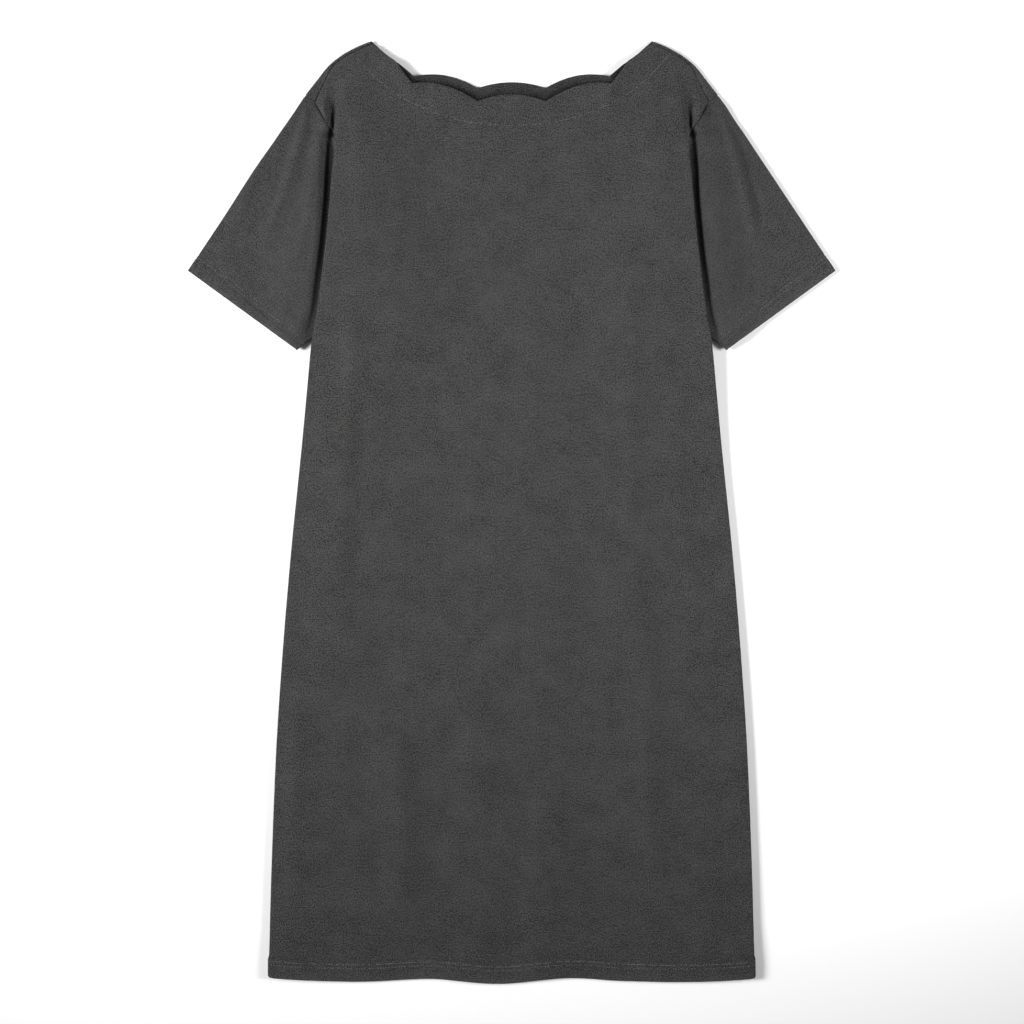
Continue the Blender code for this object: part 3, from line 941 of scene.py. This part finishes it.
# %% A sleeve's rings and creases
SLEEVE_PUFF = 1.6
CREASES_START = (8.0, 26.0)
UPPER_PLY_COMES_DOWN = (12.0, 60.0)
LOWER_PLY_COMES_DOWN = (9.0, 47.0)
SLEEVE_SETTLES = [("down", "share"), (50, 0.09), (86, 0.08), (98, 0.035), (253, 0.03)]
SLEEVE_HEM_STARTS = (0.6, 0.8)
SLEEVE_HEM_WIDTH = 150.0
ARMHOLE_EASE = 0.35
ARMHOLE_STEPS = 128
ARMHOLE_FIRST_ROW = 2
TIP_STEPS = 7
SLEEVE_FOLD_STEPS = 9
RING_RUNS = [("start", "end", "steps"), (0.0, 0.55, 84), (0.55, 0.88, 24), (0.88, 1.0, 20)]
SLEEVE_CREASES = [
    ("x0", "down0", "x1", "down1", "bow", "width", "height"),
    (-194, 16, -264, 240, 6, 8, 4.2),
    (-190, 40, -244, 236, 6, 7, -2.0),
    (-192, 92, -228, 250, 6, 9, 2.2),
    (-232, 90, -296, 232, -6, 9, 1.8),
    (-214, 170, -244, 300, 6, 12, 1.0),
    (-250, 180, -276, 280, 4, 12, -0.8),
    (192, 18, 250, 236, 8, 8, 3.8),
    (204, 50, 262, 220, 6, 7, -2.0),
    (190, 90, 222, 240, -6, 9, 2.2),
    (222, 80, 290, 214, -8, 9, 2.0),
    (214, 170, 236, 300, 6, 12, 0.9),
    (246, 170, 284, 262, 4, 12, -0.8),
]
sleeve_settles = curve(SLEEVE_SETTLES, "down", "share")
sleeve_length = float(np.linalg.norm(OUTER_END - OUTER_START))
ring_shares = np.concatenate([np.linspace(start, end, steps, endpoint=False)
                              for start, end, steps in RING_RUNS[1:]] + [[1.0]])
print("sleeve rings at", len(ring_shares), "places along", round(sleeve_length), "mm")

# %% [markdown]
# ## The sleeve's plies and folds
#
# A ply starts along the armhole, a seam's gap from the panel's edge, and ends at the hem. Beside the seam
# it keeps the height of that edge, and a little further out it settles to its own. The two plies are then
# joined by half-rounds along the sleeve's folds.

# %% Plies and folds of a sleeve
def armhole_edge(panel, half):
    """Where the sleeve starts along a panel's armhole, a gap from the panel, as (half, down, level)."""
    column = half[-1]
    start = row_down(rows[ARMHOLE_FIRST_ROW], column[1], 0.0)
    down = np.linspace(start, UNDERARM[1], ARMHOLE_STEPS)
    places, _ = panel_place(panel, 1, np.broadcast_to(column, (len(down), 4)), down)
    angle = np.radians(turn_degrees[panel](down))
    along = SEAM_GAP + CLOTH / 2 * np.sin(angle)
    across = (CLOTH + SEAM_GAP) * (1 - np.cos(angle)) / 2
    under = 1.0 if panel == "front" else -1.0
    x = places[:, 0] + along * np.cos(angle) + across * np.sin(angle)
    level = places[:, 2] + under * (across * np.cos(angle) - along * np.sin(angle))
    return np.stack([x, down, level], axis=-1)


def sleeve_level(x, down, panel, sign):
    """Height of a sleeve ply at rest: between the body's flaps, and on the table beyond them."""
    comes_down = LOWER_PLY_COMES_DOWN if panel == "back" else UPPER_PLY_COMES_DOWN
    beside = 1 - between(x - fold_half(down), *comes_down)
    ply = FLOOR_PLY + 2 * PLY * beside * between(down, *FOLD_OPENS)
    if panel == "back":
        return ply
    lie = np.maximum(creases(SLEEVE_CREASES, sign * x, down), -SLEEVE_PUFF)
    lie = lie * between(x - fold_half(down), *CREASES_START)
    return ply + PLY + SLEEVE_PUFF * (1 - beside) + lie + swell(x, down)


def sleeve_ply(edge, panel, sign):
    """One ply's places for every ring, as [ring, place, (x, down, level)]."""
    start = edge[:, :2]
    steps = np.linalg.norm(np.diff(start, axis=0), axis=1)
    share_down = np.concatenate([[0.0], np.cumsum(steps)]) / steps.sum()
    hem_from, hem_to = OUTER_END - FOLD_REACH * OUTWARD, INNER_END - FOLD_REACH * INWARD
    hem = hem_from + (hem_to - hem_from) * share_down[:, None]
    share = ring_shares[:, None]
    where = start * (1 - share[..., None]) + hem * share[..., None]
    settled = smooth(share / sleeve_settles(start[:, 1]))
    at_rest = sleeve_level(where[..., 0], where[..., 1], panel, sign)
    from_seam, above_edge = share * sleeve_length, (1 - share) * sleeve_length
    seam_roll = SEAM_DIP - seam_dip(from_seam) if panel == "front" else 0.0
    level = (edge[:, 2] + seam_roll) * (1 - settled) + at_rest * settled
    if panel == "front":
        relief = hem_relief(share_down * SLEEVE_HEM_WIDTH, above_edge)
        level = level + relief * between(share, *SLEEVE_HEM_STARTS)
    return np.concatenate([where, level[..., None]], axis=-1)


def sleeve_fold(top, bottom, out, angles):
    """Places round a sleeve's fold between its plies."""
    radius = (top[:, 2] - bottom[:, 2]) / 2
    across, up = np.sin(angles)[None, :, None], np.cos(angles)[None, :, None]
    where = top[:, None, :2] * (1 + up) / 2 + bottom[:, None, :2] * (1 - up) / 2
    where = where + radius[:, None, None] * across * out
    level = bottom[:, None, 2] + radius[:, None] * (1 + up[..., 0])
    return np.concatenate([where, level[..., None]], axis=-1)


print("plies start", SEAM_GAP, "mm from the panels")

# %% [markdown]
# ## Both sleeves from one recipe
#
# The two sleeves have one cut, so one function makes both. A seam's gap stays between sleeve and panels,
# and from the shoulder to the tip of the shoulder seam the sleeve meets the back's cloth, not the front's.

# %% Make the sleeves
outer_start = OUTER_START + ARMHOLE_EASE * ALONG_SLEEVE - FOLD_REACH * OUTWARD
seam_tip = np.array(SEAM_TIP) + ARMHOLE_EASE * ALONG_SLEEVE
to_tip = [(*(outer_start + (seam_tip - outer_start) * step / TIP_STEPS), FLOOR_PLY + PLY)
          for step in range(TIP_STEPS + 1)]
front_edge = np.concatenate([to_tip, armhole_edge("front", front_half)])
back_edge = np.concatenate([[(*outer_start, FLOOR_PLY)], armhole_edge("back", back_half)])
fold_angles = np.linspace(0, math.pi, SLEEVE_FOLD_STEPS + 2)[1:-1]


def make_sleeve(name, sign):
    """One sleeve; the left one is on the wearer's left, at +X."""
    front_ply = sleeve_ply(front_edge, "front", sign)
    back_ply = sleeve_ply(back_edge, "back", sign)
    rings = np.concatenate([
        front_ply,
        sleeve_fold(front_ply[:, -1], back_ply[:, -1], INWARD, fold_angles),
        back_ply[:, ::-1],
        sleeve_fold(front_ply[:, 0], back_ply[:, 0], OUTWARD, fold_angles[::-1]),
    ], axis=1)
    ring_steps = np.linalg.norm(np.diff(rings, axis=1, append=rings[:, :1]), axis=2)
    around = np.cumsum(ring_steps, axis=1) - ring_steps
    along_sleeve = np.broadcast_to((ring_shares * sleeve_length)[:, None], around.shape)
    print(name, round(sleeve_length), "mm long and", round(float(around[-1, -1])), "mm round its hem")
    cloth = Cloth()
    flat = np.stack([sign * around, along_sleeve], axis=-1)
    numbers = cloth.add(rings * (sign, 1, 1), flat, hem_wear(sleeve_length - along_sleeve))
    numbers = np.concatenate([numbers, numbers[:, :1]], axis=1)
    cloth.weave(numbers if sign > 0 else numbers[::-1])
    return cloth.make(name, CLOTH)


sleeve_left = make_sleeve("left_sleeve", 1)
sleeve_right = make_sleeve("right_sleeve", -1)

# %% [markdown]
# ## The back neck facing
#
# Inside the neck one sees a shaped strip of the same jersey, turned in at the scallops. It is a thin
# piece of its own that lies on the back. At the two middle notches it bulges up to the front's edge. Under
# the front and up to 11 mm above its edge the facing's colour is darkened with painted shade, standing in
# for the shadow the front casts on it: a share below zero of the value that pales worn hems.

# %% Make the facing
FACING_EDGE = [
    ("half", "down"),
    (0, 76.0),
    (35.9, 74.0),
    (64.5, 68.5),
    (90.8, 60.0),
    (112.3, 50.5),
    (132.0, 37.0),
    (152.5, 17.0),
]
FACING_STEPS = 28
NOTCH_FILL = 3.4
NOTCH_SPREAD = (9.0, 4.5)
# Painted shade on the facing: how much darker, and where it fades out above the front's edge.
PAINTED_FACING_SHADE = [("share", "starts", "ends"), (2.0, 0.0, 11.0), (1.0, 0.5, 3.0)]
FACING_TOP_SHARE = 0.012
FACING_SHOULDER_INSET = 2.5
facing_down = curve(FACING_EDGE, "half", "down")
neck = np.array(scallops(BACK_NECK, "back"))[::-1].copy()
neck[-1, 1] += FACING_SHOULDER_INSET
neck = np.concatenate([neck[:0:-1] * (-1, 1), neck])
low_x = neck[:, 0] / NECK_POINT_HALF * FACING_EDGE[-1][0]
low = np.stack([low_x, facing_down(np.abs(low_x))], axis=-1)
shares = np.linspace(FACING_TOP_SHARE, 1, FACING_STEPS)[:, None, None]
facing_flat = neck * (1 - shares) + low * shares
facing_level = CLOTH + SEAM_GAP + FACING_CLOTH / 2
facing_level = facing_level + neck_curl(np.abs(neck[:, 0]), facing_flat[..., 1] - neck[:, 1])
notch_half, notch_down, _ = FRONT_NECK[3]
aside = (np.abs(facing_flat[..., 0]) - notch_half) / NOTCH_SPREAD[0]
below = (facing_flat[..., 1] - notch_down) / NOTCH_SPREAD[1]
facing_level = facing_level + NOTCH_FILL * np.exp(-(aside**2) - below**2)
facing_places = np.concatenate([facing_flat, facing_level[..., None]], axis=-1)
front_edge_line = np.array(scallops(FRONT_NECK, "front"))[::-1]
edge_below = np.interp(np.abs(facing_flat[..., 0]), front_edge_line[:, 0], front_edge_line[:, 1])
edge_below = edge_below - facing_flat[..., 1]
# Painted shade under and just above the front's edge, given to the facing as a negative share.
painted_shade = sum(share * (1 - between(edge_below, start, end)) for share, start, end in PAINTED_FACING_SHADE[1:])
facing_cloth = Cloth()
facing_cloth.weave(facing_cloth.add(facing_places, facing_flat, -painted_shade)[::-1])
facing = facing_cloth.make("neck_facing", FACING_CLOTH)

# %% [markdown]
# ## Thread
#
# The seams are sewn with grey polyester thread. Each visible stitch is a short, round-ended bar, half
# sunk in the knit, some deeper than others. A dashed texture would be quicker, but it has no height and
# can't follow the cloth. A ray sent down on the finished panel finds where each stitch lies. Along the
# neck, near-black bars between the stitches are painted shadow in the needle holes.

# %% Rows of stitches
STITCHES = [
    ("kind", "length", "gap", "radius", "sink", "uneven", "sets_off"),
    ("neck", 1.2, 1.2, 0.28, -0.1, 1.4, 0.0),
    ("upper_hem", 2.3, 0.6, 0.26, 0.3, 0.8, 0.0),
    ("lower_hem", 1.2, 1.5, 0.27, 0.2, 0.9, 0.0),
    ("sleeve_hem", 1.2, 1.4, 0.24, 0.3, 1.1, 0.0),
    # Near-black bars between the neck stitches: painted shadow in the needle holes.
    ("hole_shadow", 1.1, 1.3, 0.28, 0.0, 0.8, 0.5),
]
BAR = [("along", "radius"), (-0.5, 0.15), (-0.42, 0.8), (-0.2, 1.0), (0.2, 1.0), (0.42, 0.8), (0.5, 0.15)]
BAR_SIDES = 6
ABOVE_ALL = 60.0


def surface(thing):
    """What a ray can find of a piece."""
    corners = [vertex.co for vertex in thing.data.vertices]
    return BVHTree.FromPolygons(corners, [face.vertices for face in thing.data.polygons])


def along_line(places, spacing, sets_off):
    """Evenly spaced places and directions along a line of (x, down) places."""
    places = np.array(places, float)
    steps = np.linalg.norm(np.diff(places, axis=0), axis=1)
    reach = np.concatenate([[0.0], np.cumsum(steps)])
    at = np.arange(spacing * (0.5 + sets_off), reach[-1], spacing)
    found = np.stack([np.interp(at, reach, places[:, i]) for i in (0, 1)], axis=-1)
    return found, unit(np.gradient(found, axis=0))


def stitched(name, kind, surfaces, lines, side=1):
    """Rows of one kind of stitch on a piece, seen from above (side 1) or below (side -1)."""
    _, size, gap, radius, sink, uneven, sets_off = next(row for row in STITCHES if row[0] == kind)
    chance = np.random.default_rng(len(name))
    points, faces = [], []
    sides = np.arange(BAR_SIDES) * 2 * math.pi / BAR_SIDES
    for line in lines:
        places, ways = along_line(line, size + gap, sets_off)
        for place, way in zip(places, ways):
            start = Vector(to_metres((*place, side * ABOVE_ALL)))
            hits = [tree.ray_cast(start, Vector((0, 0, -side))) for tree in surfaces]
            hits = [hit for hit in hits if hit[0] is not None]
            if not hits:
                continue
            where, out, _, _ = min(hits, key=lambda hit: hit[3])
            out = np.array(out) * (1 if out[2] * side > 0 else -1)
            ahead = np.array((way[0], -way[1], 0.0))
            ahead = unit(ahead - out * ahead.dot(out))
            beside = np.cross(out, ahead)
            middle = np.array(where) - out * radius * (sink + uneven * chance.uniform(0.0, 1.0)) * MM
            first = len(points)
            for along, share in BAR[1:]:
                ring = np.outer(np.cos(sides), beside) + np.outer(np.sin(sides), out)
                ring = middle + ahead * along * size * MM + ring * radius * share * MM
                points.extend(ring.tolist())
            for ring in range(len(BAR) - 2):
                for i in range(BAR_SIDES):
                    j = (i + 1) % BAR_SIDES
                    a, b = first + ring * BAR_SIDES, first + (ring + 1) * BAR_SIDES
                    faces.append((a + i, a + j, b + j, b + i))
            last = first + (len(BAR) - 2) * BAR_SIDES
            faces.append([first + i for i in reversed(range(BAR_SIDES))])
            faces.append([last + i for i in range(BAR_SIDES)])
    mesh = bpy.data.meshes.new(name)
    mesh.from_pydata(points, [], faces)
    mesh.shade_smooth()
    print(name, len(points) // (BAR_SIDES * (len(BAR) - 1)), "stitches")
    return new_object(name, mesh)


print("kinds of stitch:", [row[0] for row in STITCHES[1:]])

# %% [markdown]
# ## Where the stitches run
#
# The neck has one row, which holds the facing. Every hem has the two rows of a twin needle: in front the
# upper one reads as a thin pale line and the lower one as dots. The back's hem is stitched the same way,
# though it is underneath.

# %% Stitches at the neck and the hems
NECK_LINE_POINTS = 120
HEM_LINE_POINTS = 160
STITCHED_HALF = 244.5
facing_x = np.linspace(-FACING_LINE[-1][0], FACING_LINE[-1][0], NECK_LINE_POINTS)
neck_row = np.stack([facing_x, facing_line(np.abs(facing_x))], axis=-1)
hem_x = np.linspace(-STITCHED_HALF, STITCHED_HALF, HEM_LINE_POINTS)
hem_rows = [np.stack([hem_x, LENGTH - hem_rise(hem_x) - row], axis=-1) for row in HEM_ROWS]


def sleeve_rows(sign):
    """The two rows of stitches round a sleeve's hem, on one ply."""
    return [[(end - ALONG_SLEEVE * row) * (sign, 1) for end in (OUTER_END, INNER_END)] for row in HEM_ROWS]


front_surface, back_surface = surface(front), surface(back)
neck_stitches = stitched("neck_stitches", "neck", [front_surface], [neck_row])
# Painted shadow: near-black bars in the needle holes between the neck stitches.
neck_hole_shadows = stitched("neck_needle_holes", "hole_shadow", [front_surface], [neck_row])
upper_hem = stitched("upper_hem_stitches", "upper_hem", [front_surface], hem_rows[1:])
lower_hem = stitched("lower_hem_stitches", "lower_hem", [front_surface], hem_rows[:1])
back_hem = stitched("back_hem_stitches", "lower_hem", [back_surface], hem_rows, side=-1)
left_surface, right_surface = surface(sleeve_left), surface(sleeve_right)
left_hem = stitched("left_sleeve_stitches", "sleeve_hem", [left_surface], sleeve_rows(1))
right_hem = stitched("right_sleeve_stitches", "sleeve_hem", [right_surface], sleeve_rows(-1))

# %% [markdown]
# ## Shader maths in plain Python
#
# A finish is a small tree of nodes. `Shade` wraps one socket, so `0.5 + mask * 0.2` adds the Math nodes
# it needs, and `Finish.node` adds any other node from its type, its settings and what its sockets take.

# %% A finish and its sockets
class Shade:
    """A number that varies over a surface: arithmetic on it adds Math nodes."""

    def __init__(self, finish, socket):
        self.finish, self.socket = finish, socket

    def maths(self, operation, first, second):
        """Adds a Math node that takes two numbers or sockets."""
        return self.finish.node("ShaderNodeMath", {"operation": operation}, {0: first, 1: second})

    def __add__(self, other):
        return self.maths("ADD", self, other)

    def __sub__(self, other):
        return self.maths("SUBTRACT", self, other)

    def __rsub__(self, other):
        return self.maths("SUBTRACT", other, self)

    def __mul__(self, other):
        return self.maths("MULTIPLY", self, other)

    __radd__, __rmul__ = __add__, __mul__


class Finish:
    """A material made of one Principled shader and the nodes that feed it."""

    def __init__(self, name, **fixed):
        self.material = bpy.data.materials.new(name)
        self.material.use_nodes = True
        self.nodes, self.links = self.material.node_tree.nodes, self.material.node_tree.links
        self.shader = self.nodes["Principled BSDF"]
        for socket, value in fixed.items():
            self.shader.inputs[socket.replace("_", " ")].default_value = value

    def node(self, kind, settings=None, sockets=None, output=0):
        """Adds a node: its settings first, then its sockets' values or links. Gives one output."""
        made = self.nodes.new(kind)
        for name, value in (settings or {}).items():
            setattr(made, name, value)
        for name, value in (sockets or {}).items():
            if isinstance(value, Shade):
                self.links.new(value.socket, made.inputs[name])
            else:
                made.inputs[name].default_value = value
        return Shade(self, made.outputs[output])

    def feed(self, name, shade):
        """Links what varies over the surface to one of the shader's sockets."""
        self.links.new(shade.socket, self.shader.inputs[name])


print("shader helpers ready")

# %% [markdown]
# ## Garment-dyed jersey
#
# The cloth was dyed after sewing, so its charcoal is uneven: cloudy over a hand's width, flecked like
# marl at a few millimetres, with fine streaks across where yarns took the dye differently. Under that is
# the knit itself, columns of small loops. Every pattern runs in the cloth's own flat places, so it turns
# with the sleeves and goes round the folds.

# %% The jersey
WALE = 0.9
COURSE = 0.75
DYE = [
    ("pattern", "scale", "detail", "roughness", "stretch", "amount"),
    ("clouds", 26.0, 5.0, 0.85, (1.0, 1.0, 1.0), 1.25),
    ("flecks", 900.0, 1.0, 0.6, (1.0, 1.0, 1.0), 5.3),
    ("streaks", 420.0, 2.0, 0.6, (0.3, 1.0, 1.0), 0.8),
]
MIDDLE = 0.5
# How far the share of hem wear and painted shade moves the colour: paler for wear, darker for shade.
WEAR_AND_SHADE_SCALE = 0.22
WALE_RELIEF = 0.5
COURSE_RELIEF = 0.25
FLECK_RELIEF = 1.2
STREAK_RELIEF = 0.5
KNIT_DEPTH = 0.0003
KNIT_STRENGTH = 0.5
LEAST_ROUGH = 0.8
FLECK_ROUGH = 0.2


def dye_pattern(finish, place, scale, detail, roughness, stretch):
    """One uneven pattern of the dye, at a scale, over the cloth's flat places."""
    where = finish.node("ShaderNodeVectorMath", {"operation": "MULTIPLY"}, {0: place, 1: stretch})
    sockets = {"Vector": where, "Scale": scale, "Detail": detail, "Roughness": roughness}
    return finish.node("ShaderNodeTexNoise", {"noise_dimensions": "3D"}, sockets)


def ripple(finish, distance, wave):
    """A row of even ridges, one to each wave in millimetres."""
    return finish.node("ShaderNodeMath", {"operation": "SINE"}, {0: distance * (2 * math.pi / (wave * MM))})


def between_colours(finish, shade, dark, light):
    """A colour between two, by a shade from 0 to 1."""
    sockets = {0: shade, 6: (*dark, 1.0), 7: (*light, 1.0)}
    return finish.node("ShaderNodeMix", {"data_type": "RGBA"}, sockets, output=2)


def jersey(name, dark, light, place_offset):
    """Charcoal jersey between two shades of its dye."""
    finish = Finish(name, Sheen_Weight=0.03, Sheen_Roughness=0.5, Specular_IOR_Level=0.2)
    place = finish.node("ShaderNodeAttribute", {"attribute_name": "cloth_place"}, output=1)
    place = finish.node("ShaderNodeVectorMath", {"operation": "ADD"}, {0: place, 1: place_offset})
    clouds, flecks, streaks = [dye_pattern(finish, place, *row[1:-1]) for row in DYE[1:]]
    cloudy, flecked, streaked = [row[-1] for row in DYE[1:]]
    # One attribute carries real hem wear (paler) and painted shade on the facing (darker, below zero).
    wear = finish.node("ShaderNodeAttribute", {"attribute_name": "wear"}, output=2)
    shade = (clouds - MIDDLE) * cloudy + (flecks - MIDDLE) * flecked + (streaks - MIDDLE) * streaked
    finish.feed("Base Color", between_colours(finish, shade + wear * WEAR_AND_SHADE_SCALE + MIDDLE, dark, light))

    across = finish.node("ShaderNodeSeparateXYZ", None, {0: place}, output=0)
    down = finish.node("ShaderNodeSeparateXYZ", None, {0: place}, output=1)
    knit = ripple(finish, across, WALE) * WALE_RELIEF + ripple(finish, down, COURSE) * COURSE_RELIEF
    height = knit + flecks * FLECK_RELIEF + streaks * STREAK_RELIEF
    sockets = {"Strength": KNIT_STRENGTH, "Distance": KNIT_DEPTH, "Height": height}
    finish.feed("Normal", finish.node("ShaderNodeBump", None, sockets))
    finish.feed("Roughness", LEAST_ROUGH + flecks * FLECK_ROUGH)
    return finish.material


JERSEYS = [
    ("name", "dark", "light", "place_offset"),
    ("charcoal_jersey", (0.0093, 0.0091, 0.0091), (0.0656, 0.0642, 0.0642), (0.0, 0.0, 0.0)),
    ("inner_jersey", (0.007, 0.0068, 0.0068), (0.05, 0.0489, 0.0489), (0.7, 0.3, 0.2)),
]
charcoal, inner_charcoal = [jersey(*row) for row in JERSEYS[1:]]
print("jersey with", WALE, "mm wales")

# %% [markdown]
# ## Thread colours
#
# The thread is a lighter grey than the cloth, and its twist makes it darker in places. The painted
# shadows in the needle holes use the same kind of finish, almost black. Both are matt, with a little
# sheen from loose fibres.

# %% Thread and painted needle-hole shadows
TWIST_SCALE = 900.0
TWIST_DARK = 0.6


def thread(name, colour):
    """Twisted thread in one colour."""
    finish = Finish(name, Roughness=0.55, Sheen_Weight=0.2)
    twist = finish.node("ShaderNodeTexNoise", None, {"Scale": TWIST_SCALE, "Detail": 1.0})
    dark = tuple(value * TWIST_DARK for value in colour)
    finish.feed("Base Color", between_colours(finish, twist, dark, colour))
    return finish.material


grey_thread = thread("grey_thread", (0.19, 0.187, 0.185))
# A near-black finish for the painted shadow in the needle holes.
hole_shade = thread("painted_hole_shadows", (0.008, 0.008, 0.008))
print("finishes:", charcoal.name, inner_charcoal.name, grey_thread.name, hole_shade.name)

# %% [markdown]
# ## Put the pieces on the model
#
# Every piece of cloth stands for one solid of the imported model, and the table lists the size of its cut
# before it was sewn and laid out. The stitches go with the piece that they are sewn on.

# %% Finishes, riding and sizes of the cut
ALL_CLOTH = [
    ("piece", "node", "finish", "slot", "width", "length", "area", "rests_on", "stitches"),
    (front, "front", charcoal, "charcoal_jersey", 0.496, 0.952, 0.435,
     ["back_panel", "left_sleeve", "right_sleeve"], [neck_stitches, neck_hole_shadows, upper_hem, lower_hem]),
    (back, "back", charcoal, "charcoal_jersey", 0.496, 0.955, 0.439, [], [back_hem]),
    (sleeve_left, "sleeve_left", charcoal, "charcoal_jersey", 0.43, 0.214, 0.050,
     ["back_panel"], [left_hem]),
    (sleeve_right, "sleeve_right", charcoal, "charcoal_jersey", 0.43, 0.214, 0.050,
     ["back_panel"], [right_hem]),
    (facing, "back_neck_facing", inner_charcoal, "facing_jersey", 0.305, 0.073, 0.0084,
     ["back_panel"], []),
]
for piece, node, finish, slot, width, length, area, rests_on, stitches in ALL_CLOTH[1:]:
    piece.data.materials.append(finish)
    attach(piece, "root")
    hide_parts(node)
    for thing in stitches:
        # The neck's near-black bars take the finish of painted needle-hole shadows.
        thing.data.materials.append(hole_shade if thing is neck_hole_shadows else grey_thread)
        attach(thing, "root")
print(len(ALL_CLOTH) - 1, "pieces of cloth stand for the solids")

# %% [markdown]
# ## Table
#
# Clothes are photographed from above on a pale table, here a plain sheet just under the cloth. It belongs
# to the studio, not to the dress.

# %% The table
FLOOR_SIZE = 6.0
FLOOR_DROP = 0.0004
bpy.ops.mesh.primitive_plane_add(size=FLOOR_SIZE, location=(0, 0, -FLOOR_DROP))
floor = bpy.context.object
floor.name = "pale_table"
pale = Finish("pale_table", Base_Color=(0.96, 0.96, 0.96, 1.0), Roughness=0.9, Specular_IOR_Level=0.1)
floor.data.materials.append(pale.material)
print("table", FLOOR_SIZE, "m wide")

# %% [markdown]
# ## Soft light from both sides
#
# A dress on a table shows its folds only when light comes in low. A strong softbox stands far off on the
# left, and a weaker one nearer on the right, so each crease has a lighter and a darker side. Two equal
# lamps would cancel each other. A faint even light from all round keeps the deep folds from going black.

# %% Soft studio light
LIGHTS = [
    ("name", "place", "aims_at", "size", "spread", "power"),
    ("left_softbox", (-2.4, 0.06, 1.6), (0.0, 0.2, 0.0), 1.0, 58.0, 16.7),
    ("right_softbox", (1.9, 0.06, 1.27), (0.0, 0.2, 0.0), 0.8, 58.0, 6.5),
]
ROOM_LIGHT = 0.12
for name, place, aims_at, size, spread, power in LIGHTS[1:]:
    lamp = bpy.data.lights.new(name, "AREA")
    lamp.size, lamp.energy, lamp.spread = size, power, math.radians(spread)
    thing = new_object(name, lamp)
    thing.location = place
    thing.rotation_euler = (Vector(aims_at) - Vector(place)).to_track_quat("-Z", "Y").to_euler()
world = bpy.data.worlds.new("studio")
world.use_nodes = True
background = world.node_tree.nodes["Background"]
background.inputs["Color"].default_value = (1.0, 1.0, 1.0, 1.0)
background.inputs["Strength"].default_value = ROOM_LIGHT
bpy.context.scene.world = world
bpy.context.scene.view_settings.view_transform = "Standard"
print(len(LIGHTS) - 1, "softboxes")

# %% [markdown]
# ## Camera
#
# The camera hangs straight above the middle of the dress. Its lens is long, as for flat clothes, so that
# the raised folds hardly shift outwards. Its height follows from how wide a strip it should see.

# %% Camera straight above
LENS = 85.0
SENSOR = 36.0
SEEN_WIDTH = 1.0371
LOOKS_AT = (0.0003, 0.0002, 0.003)
camera = bpy.data.cameras.new("above")
camera.lens, camera.sensor_width = LENS, SENSOR
distance = SEEN_WIDTH * LENS / SENSOR
eye = new_object("above", camera)
eye.location = (LOOKS_AT[0], LOOKS_AT[1], LOOKS_AT[2] + distance)
bpy.context.scene.camera = eye
print("camera", round(distance, 3), "m above the dress")
